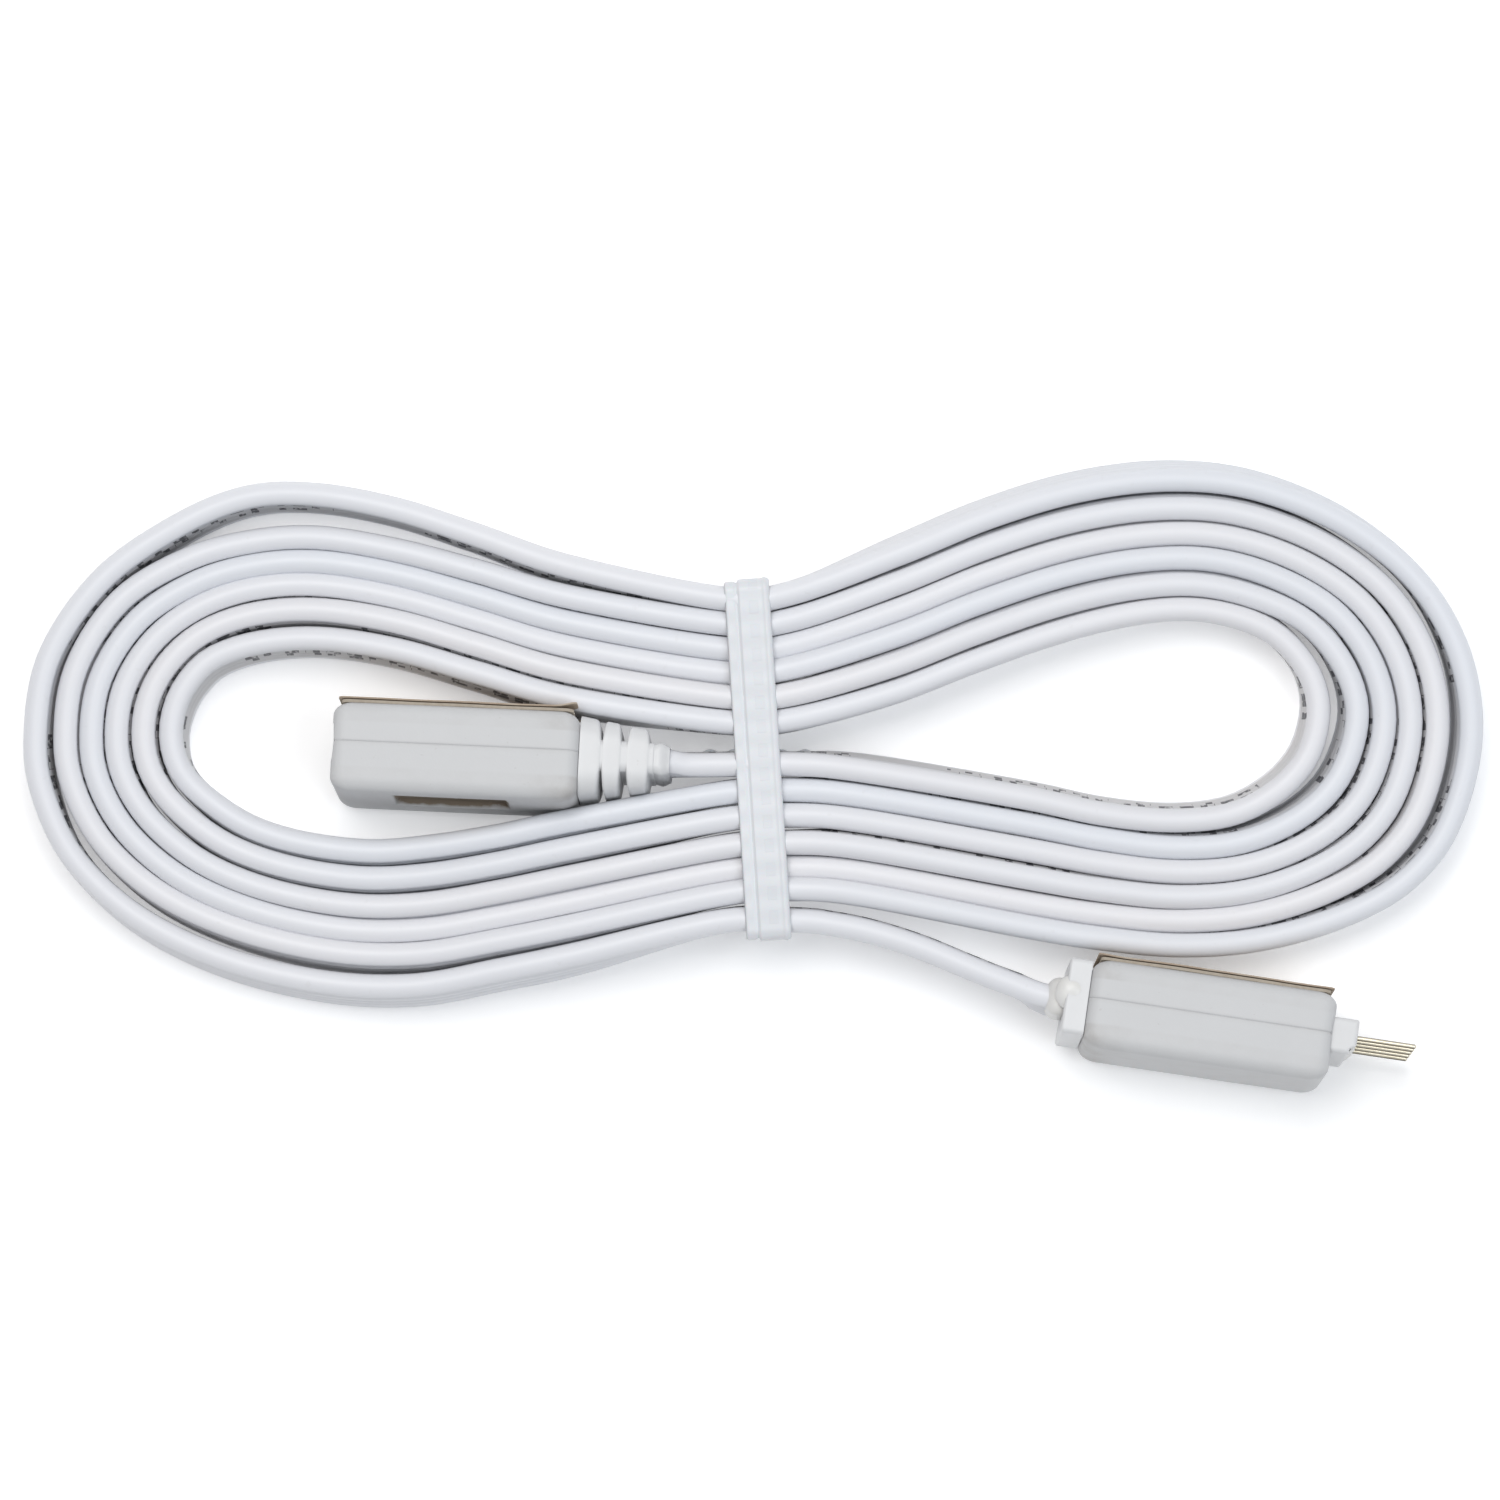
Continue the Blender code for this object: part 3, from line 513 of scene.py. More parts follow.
def jacket_material():
    """White PVC: soft gloss, faint drawing lines along the cord, printed dashes and painted shade
    inside.

    The UV map holds the distance along the cord and round its section in metres. The marks are
    blocks that white noise fills or leaves, in groups, on a band along one flat face.
    """
    material, tree, shader = new_material("cord_pvc")
    along, around = length_map(tree)
    column_size, row_size = 0.8 * MM, 1.37 * MM
    mark_pitch, group_pitch = 2.4 * MM, 46 * MM
    marks_middle, marks_reach = 4.1 * MM, 1.45 * MM
    face_middle, shaded_face_end, shaded_face_start = 4.6 * MM, 2.3 * MM, 1.6 * MM
    column = maths(tree, "FLOOR", maths(tree, "MULTIPLY", along, 1 / column_size))
    row = maths(tree, "FLOOR", maths(tree, "MULTIPLY", around, 1 / row_size))
    cell = maths(tree, "MULTIPLY_ADD", row, 7919.0, column)
    random = add_node(tree, "ShaderNodeTexWhiteNoise", {"noise_dimensions": "1D"}, W=cell)
    inked = product(
        tree,
        maths(tree, "GREATER_THAN", random.outputs["Value"], 0.5),
        maths(tree, "LESS_THAN", cycle(tree, along, mark_pitch), 0.7),
        maths(tree, "LESS_THAN", cycle(tree, along, group_pitch), 0.78),
        maths(tree, "LESS_THAN", off_middle(tree, around, marks_middle), marks_reach),
        between(tree, noise(tree, 1800.0), 0.30, 0.50),
    )
    stretch = add_node(tree, "ShaderNodeCombineXYZ", X=maths(tree, "MULTIPLY", along, 5.0))
    tint = between(tree, noise(tree, 1.0, 2.0, stretch.outputs["Vector"]), 0.35, 0.65)
    base = mix_colour(tree, tint, (0.80, 0.795, 0.815, 1), (0.755, 0.775, 0.815, 1))
    # Painted shade: the middle of the inner flat face is darkened towards a grey brown
    painted_face_shade = between(tree, off_middle(tree, around, face_middle), shaded_face_end, shaded_face_start)
    base = mix_colour(tree, product(tree, painted_face_shade, 0.42), base, (0.36, 0.34, 0.32, 1))
    dust = between(tree, noise(tree, 900.0, 4.0), 0.66, 0.76)
    base = mix_colour(tree, product(tree, dust, 0.08), base, (0.42, 0.39, 0.36, 1))
    spread = add_node(
        tree, "ShaderNodeCombineXYZ",
        X=maths(tree, "MULTIPLY", along, 12.0), Y=maths(tree, "MULTIPLY", around, 900.0),
    )
    lines = noise(tree, 1.0, 3.0, spread.outputs["Vector"])
    swell = bump(tree, noise(tree, 220.0, 2.0), 0.05 * MM, 0.6)
    set_inputs(
        tree, shader,
        Base_Color=mix_colour(tree, inked, base, (0.12, 0.12, 0.13, 1)),
        Normal=bump(tree, lines, 0.012 * MM, 0.7, swell),
        Roughness=vary(tree, noise(tree, 400.0), 0.38, 0.12),
        IOR=1.5,
        Subsurface_Weight=0.12,
        Subsurface_Radius=(1.0, 0.95, 0.9),
        Subsurface_Scale=0.8 * MM,
    )
    return material


def moulded_material(name, base, shade, rough, painted_shade_and_grime, grain, subsurface):
    """Moulded plastic: spark-eroded grain, slow tint, specks of grime, and painted shade where the
    attribute says.
    """
    material, tree, shader = new_material(name)
    tint = mix_colour(tree, noise(tree, 90.0, 2.0), (*base, 1), (*shade, 1))
    patch = between(tree, noise(tree, 330.0, 5.0, None, 0.6), 0.30, 0.85)
    # Painted shade: the attribute darkens the colour towards dark brown, unevenly in patches;
    # specks of grime add to it
    painted_shade_and_specks = product(tree, painted_shade_and_grime_map(tree), vary(tree, patch, 0.2, 0.8), painted_shade_and_grime)
    speck = between(tree, noise(tree, 1500.0, 2.0), 0.71, 0.75)
    painted_shade_and_specks = maths(tree, "MAXIMUM", painted_shade_and_specks, maths(tree, "MULTIPLY", speck, 0.25 * painted_shade_and_grime))
    texture = bump(tree, noise(tree, 4200.0, 2.0), 0.02 * MM, grain)
    set_inputs(
        tree, shader,
        Base_Color=mix_colour(tree, painted_shade_and_specks, tint, (0.21, 0.165, 0.12, 1)),
        Normal=bump(tree, noise(tree, 300.0), 0.03 * MM, 0.4, texture),
        Roughness=vary(tree, noise(tree, 700.0), rough, 0.1),
        Subsurface_Weight=subsurface,
        Subsurface_Radius=(1.0, 1.0, 1.0),
        Subsurface_Scale=0.8 * MM,
    )
    return material


def plain_material(name, base, shade, rough, scale=600.0, metallic=0.0, height=0.01 * MM):
    """One substance with two close tones, uneven roughness and a fine bump."""
    material, tree, shader = new_material(name)
    mottle = noise(tree, scale, 4.0)
    set_inputs(
        tree, shader,
        Base_Color=mix_colour(tree, mottle, (*base, 1), (*shade, 1)),
        Roughness=vary(tree, mottle, rough - 0.1, 0.2),
        Normal=bump(tree, noise(tree, 3 * scale), height, 0.8),
        Metallic=metallic,
    )
    return material


def gold_material():
    """Thin gold plating: champagne tone, brushed along the pin, with painted shade down its flanks.
    """
    material, tree, shader = new_material("gold_plate")
    base = mix_colour(tree, noise(tree, 400.0), (0.97, 0.91, 0.76, 1), (0.93, 0.85, 0.66, 1))
    # Painted shade: the flanks turn dark brown where the attribute says
    painted_flank_shade = between(tree, painted_shade_and_grime_map(tree), 0.5, 0.95)
    set_inputs(
        tree, shader,
        Base_Color=mix_colour(tree, painted_flank_shade, base, (0.07, 0.05, 0.03, 1)),
        Roughness=vary(tree, noise(tree, 900.0), 0.36, 0.1),
        Normal=bump(tree, noise(tree, 1500.0), 0.003 * MM, 0.3),
        Metallic=1.0,
    )
    return material


def liner_material():
    """Brown release paper: fibres between two browns, with paler smudges."""
    material, tree, shader = new_material("liner_paper")
    fibre = noise(tree, 1800.0, 6.0, None, 0.7)
    base = mix_colour(tree, fibre, (0.30, 0.215, 0.15, 1), (0.50, 0.42, 0.33, 1))
    smudge = between(tree, noise(tree, 260.0, 3.0), 0.52, 0.66)
    set_inputs(
        tree, shader,
        Base_Color=mix_colour(tree, smudge, base, (0.47, 0.40, 0.32, 1)),
        Normal=bump(tree, fibre, 0.02 * MM, 0.8),
        Roughness=0.8,
    )
    return material


def tie_material():
    """Satin film, cool white, with a faint row of embossed dashes along the band."""
    material, tree, shader = new_material("tie_film")
    along, across = length_map(tree)
    row_middle, row_reach, dash_pitch = 3.1 * MM, 0.5 * MM, 2.6 * MM
    dash = product(
        tree,
        maths(tree, "LESS_THAN", off_middle(tree, across, row_middle), row_reach),
        maths(tree, "LESS_THAN", cycle(tree, along, dash_pitch), 0.55),
    )
    base = mix_colour(tree, noise(tree, 120.0), (0.76, 0.78, 0.805, 1), (0.71, 0.73, 0.755, 1))
    creases = bump(tree, noise(tree, 500.0, 3.0), 0.03 * MM, 0.5)
    set_inputs(
        tree, shader,
        Base_Color=mix_colour(tree, product(tree, dash, 0.10), base, (0.52, 0.55, 0.60, 1)),
        Normal=bump(tree, dash, 0.06 * MM, 0.6, creases),
        Roughness=vary(tree, noise(tree, 800.0), 0.35, 0.15),
        Subsurface_Weight=0.08,
        Subsurface_Scale=0.6 * MM,
    )
    return material


def make_materials():
    """One material for each slot of the record."""
    shell = {"base": (0.63, 0.635, 0.64), "shade": (0.60, 0.605, 0.61), "rough": 0.55}
    milky = {"base": (0.74, 0.745, 0.75), "shade": (0.69, 0.695, 0.70), "rough": 0.36}
    made = {
        "jacket": jacket_material(),
        "shell": moulded_material("shell_plastic", **shell, painted_shade_and_grime=0.42, grain=0.9, subsurface=0.05),
        "moulding": moulded_material(
            "milky_plastic", **milky, painted_shade_and_grime=0.35, grain=0.3, subsurface=0.25
        ),
        "glue": plain_material(
            "set_glue", (0.77, 0.77, 0.77), (0.73, 0.72, 0.68), 0.34, scale=500.0, height=0.05 * MM
        ),
        "gold": gold_material(),
        "board": plain_material("solder_resist", (0.03, 0.17, 0.07), (0.05, 0.22, 0.10), 0.4),
        "pad": plain_material(
            "foam_pad", (0.50, 0.45, 0.38), (0.33, 0.28, 0.22), 0.85, scale=1500.0, height=0.08 * MM
        ),
        "liner": liner_material(),
        "tie": tie_material(),
        "wire": plain_material(
            "tie_steel", (0.55, 0.55, 0.56), (0.42, 0.41, 0.40), 0.35, scale=1200.0, metallic=1.0
        ),
    }
    for slot, colour in CORE_COLOURS.items():
        shade = tuple(0.8 * value for value in colour)
        made[slot] = plain_material(slot, colour, shade, 0.4)
    return made


def shared_materials():
    """The slots' materials, made on first use."""
    if not MATERIALS:
        MATERIALS.update(make_materials())
    return MATERIALS


# ---------------- the cord


def at_pairs(table):
    """The table's rows spread to all pairs of a lobe, as an array (pairs, turns)."""
    keys = sorted(table)
    rows = np.array([table[key] for key in keys], float)
    pairs = np.arange(len(LEFT_LOBE))
    return np.stack([np.interp(pairs, keys, rows[:, turn]) for turn in range(rows.shape[1])], 1)


def lobe_lines(lobe, shares, rises):
    """Each turn of a lobe as x, y of its upper edge and its rise, as an array (turns, pairs, 3)."""
    pairs = np.array(lobe) * MM
    share = at_pairs(shares)[:, :, None]
    spots = pairs[:, :1] * (1 - share) + pairs[:, 1:] * share
    return np.concatenate([spots, at_pairs(rises)[:, :, None] * MM], 2).transpose(1, 0, 2)


def raise_at(x):
    """How far the tie's twist lifts the hank: a squared cosine to either side of the tie."""
    return TWIST_RAISE * np.cos(np.minimum(1, abs(x - TIE_X) / RAISE_REACH) * math.pi / 2) ** 2


def lean_at(x, y):
    """How far the cord leans across the hank: a lean for its side, less a share of y.

    It grows from none at the waist by one less a falling exponential.
    """
    side = np.where(x < TIE_X, LEAN_LEFT, LEAN_RIGHT)
    away = np.maximum(0, abs(x - TIE_X) - WAIST)
    return (side - LEAN_SPREAD * y) * (1 - np.exp(-away / LEAN_REACH))


def unit(vectors):
    return vectors / np.linalg.norm(vectors, axis=-1, keepdims=True)


def hank_stations(width):
    """Middle and upward direction of the wound cord at every pair of every turn, as columns.

    The upper edge lies one cord width above the floor, plus what the tie's twist lifts it and
    the turn's own rise. The cord leans only across its own direction, and outwards at the ends.
    """
    left = lobe_lines(LEFT_LOBE, LEFT_SHARES, LEFT_RISES)
    right = lobe_lines(RIGHT_LOBE, RIGHT_SHARES, RIGHT_RISES)
    turns = [half for pair in zip(right, left) for half in pair]
    x, y, rise = np.vstack(turns).T
    lift = raise_at(x)
    lift = np.maximum(0, lift + rise * lift / (lift + 0.5 * MM))
    top = np.stack([x, y, width + lift], 1)
    run = np.gradient(top, axis=0)
    run[:, 2] = 0
    run = unit(run)
    lean = np.stack([END_LEAN * x, lean_at(x, y), 0 * x], 1)
    lean -= (lean * run).sum(1, keepdims=True) * run
    up = unit(lean + (0, 0, 1))
    return np.hstack([top - up * width / 2, up])


def on_axis(matrix, places):
    """Stations on a connector's axis, as middle and upward direction."""
    up = np.array(matrix.col[2][:3])
    spots = [np.array(matrix @ Vector((x * MM, 0, 0))) for x in places]
    return np.array([[*spot, *up] for spot in spots])


def catmull_rom(stations, steps):
    """A smooth curve through the rows of stations, with this many points for each span."""
    first = 2 * stations[:1] - stations[1:2]
    last = 2 * stations[-1:] - stations[-2:-1]
    knots = np.vstack([first, stations, last])
    a, b, c, d = (knots[i: len(knots) - 3 + i, None] for i in range(4))
    t = (np.arange(steps) / steps)[None, :, None]
    curve = 0.5 * (
        2 * b + (c - a) * t + (2 * a - 5 * b + 4 * c - d) * t**2 + (3 * b - a - 3 * c + d) * t**3
    )
    return np.vstack([curve.reshape(-1, stations.shape[1]), stations[-1:]])


def evenly(curve, count):
    """The curve's rows at equal steps along its first three columns, and those steps' places."""
    steps = np.linalg.norm(np.diff(curve[:, :3], axis=0), axis=1)
    run = np.concatenate([[0], np.cumsum(steps)])
    places = np.linspace(0, run[-1], count)
    return np.stack([np.interp(places, run, column) for column in curve.T], 1), places


def cord_section(settings, side=18, end=12):
    """Points round the flat cord's section and their distance round it.

    Two half circles join two flat faces. Each face sinks by half of (1 - cosine) of the distance
    from the middle over the ridge pitch, up to the outer ridges.
    """
    radius = settings.thickness / 2
    straight = settings.width / 2 - radius
    turn = np.linspace(0, math.pi, end, endpoint=False)
    flat = np.linspace(straight, -straight, side, endpoint=False)
    a = np.concatenate([radius * np.sin(turn - math.pi / 2), np.full(side, radius),
                        radius * np.sin(math.pi / 2 - turn), np.full(side, -radius)])
    b = np.concatenate([straight + radius * np.cos(turn - math.pi / 2), flat,
                        -straight - radius * np.cos(math.pi / 2 - turn), -flat])
    steps = np.hypot(a - np.roll(a, 1), b - np.roll(b, 1))
    distance = np.cumsum(steps) - steps[: end // 2 + 1].sum()
    sunk = settings.groove * (1 - np.cos(2 * math.pi * b / settings.core_pitch)) / 2
    a = a - np.sign(a) * np.where(abs(b) < 2 * settings.core_pitch, sunk, 0) * (abs(a) > radius / 2)
    return a, b, distance


def cord_route(settings, plug, socket):
    """Middle and upward direction of the cord along its whole length, as even rows."""
    lead_in = np.array([[*np.array(spot) * MM, 0, 0, 1] for spot in SOCKET_LEAD])
    lead_out = np.array([[*np.array(spot) * MM, 0, 0, 1] for spot in PLUG_LEAD])
    stations = np.vstack([
        on_axis(socket, (HELD_END, HELD_MIDDLE, RELIEF_SPAN[1], RELIEF_MIDDLE, RELIEF_SPAN[0])),
        lead_in,
        hank_stations(settings.width),
        lead_out,
        on_axis(plug, (GLUE_START, *COLLAR_SPAN, HELD_MIDDLE, HELD_END)),
    ])
    return evenly(catmull_rom(stations, 16), settings.rings)


def build_cord(settings, plug, socket):
    """The cord as one swept solid: a section across the direction of travel on every row."""
    rows, along = cord_route(settings, plug, socket)
    middle = rows[:, :3]
    run = unit(np.gradient(middle, axis=0))
    up = rows[:, 3:]
    up = unit(up - (up * run).sum(1, keepdims=True) * run)
    inner = np.cross(up, run)
    a, b, around = cord_section(settings)
    grid = middle[:, None] + a[:, None] * inner[:, None] + b[:, None] * up[:, None]
    grid[:, :, 2] = np.maximum(grid[:, :, 2], 0.02 * MM)
    uv = np.stack(np.broadcast_arrays(along[:, None], around[None, :]), -1)
    obj = closed_mesh("flat_cord", grid, uv=uv)
    declare(obj, CORD_NODES, "jacket")
    return obj, middle


# ---------------- connectors


def connector_matrix(name, pad_side, end_mount):
    """A connector's own axes, from its narrow top face and its mating face in the record.

    X points to the mating end, Z up out of the top face, and the origin is in the middle of the
    shell on the line of the pins. The adhesive pad is on pad_side of Y.
    """
    mounts = {mount["name"]: mount for mount in frame["record"]["mounts"]}
    top = mounts[f"{name}_top_face"]
    x = Vector(mounts[end_mount]["axis"]).normalized()
    z = Vector(top["axis"]).normalized()
    y = z.cross(x)
    matrix = Matrix((x, y, z)).transposed().to_4x4()
    off_line, height = (value * MM for value in TOP_FACE)
    matrix.translation = Vector(top["pos_m"]) + y * pad_side * off_line - z * height
    return matrix


def connectors():
    """The plug's and the socket's own axes."""
    plug = connector_matrix("plug", 1, "plug_header_face")
    return plug, connector_matrix("socket", -1, "socket_mating_face")


def shell_half(name, side, pad_side, settings, recess):
    """Half of a shell as a thin cup of rounded rectangles stacked along local Y.

    The rings run from the middle of the broad face out to its edge, round the edge, down the
    side wall to the parting line, across the wall and back up inside. Round the edge they
    follow a quarter ellipse, longer towards the ends. The rim is raised where an opening (which
    end, half height, half depth) cuts the end wall. The broad face is crowned by a parabola each
    way, and the recess sinks it evenly inside a rectangle.
    """
    half_x, half_y, half_z = (value * MM for value in SHELL_HALF)
    height = half_y - side * pad_side * PARTING_OFFSET * MM
    wall, rounding, lip = settings.wall, settings.rounding, PARTING_LIP * MM
    face, turn, climb, roof = 34, 9, 6, 12
    inner = climb + roof
    cos, sin = (values[1:] for values in arc_profile(0, 1, turn))
    down = np.linspace(0, 1, 14)[1:]
    start = face + turn - 1
    bent = np.concatenate([np.ones(face), 1 - sin, 0 * down, [0, 0], np.zeros(inner)])
    inset = np.concatenate([np.zeros(start), 0 * down, [lip, wall - lip], np.full(inner, wall)])
    scale = np.concatenate([
        np.linspace(0.04, 1, face), np.ones(len(sin) + len(down) + 2 + climb),
        np.linspace(1, 0.05, roof),
    ])
    reach_x = half_x - inset - settings.end_rounding * bent
    reach_z = half_z - inset - rounding * bent
    corner = np.maximum(SHELL_CORNER * MM - inset - rounding * bent, 0.25 * MM)
    rings = rounded_rings(reach_x * scale, reach_z * scale, corner * scale, 8, 30)
    x, z = rings[..., 0], rings[..., 1]
    rim = np.full_like(x, settings.parting_gap / 2)
    for end, opening_y, opening_z in (CORD_WAY, HEADER_WAY):
        near = smooth_step(end * x, half_x - 2.2 * wall, half_x - 2 * wall)
        inside = 1 - smooth_step(abs(z), opening_z * MM, (opening_z + 0.12) * MM)
        rim = np.maximum(rim, near * inside * opening_y * MM)
    edge_top = height - rounding
    level = np.concatenate([
        np.full(face, height), edge_top + rounding * cos, np.full(len(down) + 2, edge_top),
        np.full(inner, height - wall),
    ])
    share = np.concatenate([
        np.zeros(start), down, [1, 1], np.linspace(1, 0, climb + 1)[:-1], np.zeros(roof)
    ])[:, None]
    y = level[:, None] * (1 - share) + rim * share
    y[start + len(down) - 1] += 0.4 * lip
    crown = SHELL_CROWN * MM * (1 - (x / half_x) ** 2) * (1 - (z / half_z) ** 2)
    y[:start] += crown[:start]
    # Painted shade in the attribute: some over the broad face, more towards the cord end and round
    # its edge; the parting joint gets a faint dark line
    painted_shade_and_grime = np.zeros(x.shape)
    cord_end = smooth_step(-x, 0.55 * half_x, 0.95 * half_x)
    painted_shade_and_grime[:start] = 0.25 + 0.5 * cord_end[:start]
    painted_shade_and_grime[face - 3: start + 3] = 0.15 + 0.75 * cord_end[face - 3: start + 3]
    painted_shade_and_grime[start + len(down) - 2: start + len(down) + 2] = 0.15
    # Painted shade darkens the recess
    if recess:
        low, high = (value * MM for value in RECESS_SIDES)
        reach, edge = RECESS_REACH * MM, RECESS_EDGE * MM
        deep = smooth_step(abs(x - RECESS_MIDDLE * MM), reach, reach - edge)
        deep = deep * smooth_step(z, low, low + edge) * smooth_step(z, high, high - edge)
        y[:face] -= RECESS_DEPTH * MM * deep[:face]
        painted_shade_and_grime[:face] += 9.0 * deep[:face]
    return closed_mesh(name, np.stack([x, side * y, z], -1), attributes={"painted_shade_and_grime": painted_shade_and_grime})


def build_shells(settings, plug, socket):
    """Both halves of both shells. Only the socket's front half has the recess."""
    for name, matrix, pad_side in (("plug", plug, 1), ("socket", socket, -1)):
        for half, side in (("back", pad_side), ("front", -pad_side)):
            recess = (name, half) == ("socket", "front")
            shell = shell_half(f"{name}_{half}_cover", side, pad_side, settings, recess)
            place(shell, matrix, (f"{name}_{half}_shell",), "shell")


def plate(name, half, levels, side, bend):
    """A thin plate with rounded corners between two levels out from the shell's broad face.

    The rings grow from the middle of one face to the outline and shrink back over the other,
    and bend(x, z) moves them along local Y.
    """
    rise = 24
    low, high = sorted(side * (ADHESIVE_BASE * MM + level * MM) for level in levels)
    half_x, half_z = (value * MM for value in half)
    scale = np.concatenate([np.linspace(0.03, 1, rise), np.ones(2), np.linspace(1, 0.03, rise)])
    level = np.concatenate([np.full(rise, low), [low, high], np.full(rise, high)])
    rings = rounded_rings(half_x * scale, half_z * scale, 0.8 * MM * scale, 6, 30)
    x, z = rings[..., 0], rings[..., 1]
    return closed_mesh(name, np.stack([x, level[:, None] + bend(x, z), z], -1))


def build_adhesive(plug, socket):
    """The foam pads and the release liners, whose ends at the cord lift off the foam.

    Both follow the same slow waves. A liner also rises by the square of a smooth step there.
    """
    ends = (("plug", plug, 1, 0.15, 5), ("socket", socket, -1, 0.8, 8))
    for name, matrix, side, lift, seed in ends:

        def uneven(x, z):
            spots = np.stack([x, 0 * x, z], -1)
            return side * 0.05 * MM * waves(spots, 9 * MM, seed)

        def peeled(x, z):
            corner = smooth_step(-x, 9.5 * MM, 13.6 * MM)
            return uneven(x, z) + side * MM * (0.06 + 0.75 * lift * corner**2)

        pad = plate(f"{name}_pad", PAD_HALF, PAD_LEVELS, side, uneven)
        place(pad, matrix, (f"{name}_adhesive_pad",), "pad")
        liner = plate(f"{name}_liner", LINER_HALF, LINER_LEVELS, side, peeled)
        place(liner, matrix, (f"{name}_release_liner",), "liner")


def sleeve(name, x, half_y, half_z, bore, radius):
    """A closed tube along local X round the flat cord.

    x, half_y and half_z are the outer surface's profile; the inner surface goes back through the
    bore (half thickness, half width), and both ends are joined.
    """
    steps = 12
    back = np.linspace(x[-1], x[0], steps)
    way_y, way_z = bore
    all_x = np.concatenate([x, back])
    all_y = np.concatenate([half_y, np.full(steps, way_y)])
    all_z = np.concatenate([half_z, np.full(steps, way_z)])
    corner = np.concatenate([np.minimum(radius, 0.55 * half_y), np.full(steps, 0.9 * way_y)])
    rings = rounded_rings(all_y, all_z, corner, 8, 12)
    levels = np.broadcast_to(all_x[:, None], rings.shape[:2])
    return closed_mesh(name, np.stack([levels, rings[..., 0], rings[..., 1]], -1), loop=True)


def build_relief(cord, socket):
    """The ribbed strain relief: tapered ribs on a narrower spine, with a bulb at the cord.

    The outline across the cord is the spine's, plus a step with rounded shoulders at each rib;
    along the cord's width it tapers evenly from the shell to the last rib.
    """
    low, high = (value * MM for value in RELIEF_SPAN)
    bulb, spine = RELIEF_BULB * MM, RELIEF_SPINE * MM
    x = np.linspace(low - bulb, high + INTO_SHELL * MM, 170)
    share = (x - low) / (high - low)
    rib_y = MM * (3.15 + 1.2 * share)
    on = np.zeros_like(x)
    for start, end in RELIEF_RIBS:
        middle, half = (start + end) / 2, (end - start) / 2
        off = np.clip(abs(share - middle) / half, 0, 1)
        on = np.maximum(on, (1 - off**7) ** 0.5)
    half_y = spine + (rib_y - spine) * on
    half_z = MM * (4.75 + 0.85 * np.clip(share, 0, 1)) - 0.06 * MM * (1 - on)
    towards_cord = smooth_step(x, low - bulb, low)
    swell = np.sin(towards_cord * math.pi) ** 0.7
    half_y = np.where(share < 0, MM * (1.46 + 0.14 * towards_cord + 0.24 * swell), half_y)
    half_z = np.where(share < 0, MM * (3.88 + 0.6 * towards_cord + 0.25 * swell), half_z)
    bore = (cord.thickness / 2 + 0.03 * MM, cord.width / 2 + 0.05 * MM)
    relief = sleeve("socket_relief", x, half_y, half_z, bore, RELIEF_ROUNDING * MM)
    place(relief, socket, ("socket_strain_relief",), "moulding")


def build_collar(cord, plug):
    """The plug's block-shaped collar, and the glue round the cord where it goes in.

    The collar's outline steps in at its cord end. The glue is two closed forms with lumps of
    smooth waves: rounded rectangles along the cord that swell and close, moved towards its
    upper edge, and an ellipsoid on top, where it was dabbed on.
    """
    low, high = (value * MM for value in COLLAR_SPAN)
    x = np.linspace(low, high + INTO_SHELL * MM, 30)
    ends = smooth_step(x - low, 0, 0.22 * MM)
    half_y, half_z = (MM * (value + 0.2 * ends) for value in COLLAR_HALF)
    bore = (cord.thickness / 2 + 0.05 * MM, cord.width / 2 + 0.05 * MM)
    collar = sleeve("plug_collar", x, half_y, half_z, bore, COLLAR_ROUNDING * MM)
    place(collar, plug, ("plug_cord_collar",), "moulding")
    cos, sin = arc_profile(-1, 1, 34)
    start, end = GLUE_START * MM, low + 0.95 * MM
    size = np.maximum(cos, 0.03) ** 0.8
    bead_y, bead_z = (value * MM * size for value in GLUE_HALF)
    rings = rounded_rings(bead_y, bead_z, 1.9 * MM * size, 8, 14)
    levels = (start + end) / 2 + (end - start) / 2 * sin
    levels = np.broadcast_to(levels[:, None], rings.shape[:2])
    grid = np.stack([levels, rings[..., 0], 0.62 * rings[..., 1] + 1.6 * MM], -1)
    lumps = waves(grid, 3.4 * MM, 3)[..., None]
    grid = grid + lumps * 0.14 * MM * unit(grid - (levels.mean(), 0, 0)) * size[:, None, None]
    place(closed_mesh("plug_glue_bead", grid), plug, ("plug_cord_glue",), "glue")
    polar = np.linspace(0.02, 0.98, 26) * math.pi
    azimuth = np.linspace(0, 2 * math.pi, 40)[:-1]
    polar, azimuth = np.meshgrid(polar, azimuth, indexing="ij")
    across = np.sin(polar)
    ball = np.stack([across * np.cos(azimuth), across * np.sin(azimuth), np.cos(polar)], -1)
    radii = [value * MM for value in DAB_RADII]
    ball = ball * (1 + 0.12 * waves(ball, 1.7, 6)[..., None]) * radii
    dab = closed_mesh("plug_glue_dab", ball + (low + 0.45 * MM, 0.45 * MM, 5.0 * MM))
    place(dab, plug, (), "glue")


def stack_up(x, rings):
    """The rings as a grid of points, each ring at its own place along local X."""
    levels = np.broadcast_to(x[:, None], rings.shape[:2])
    return np.stack([levels, rings[..., 0], rings[..., 1]], -1)


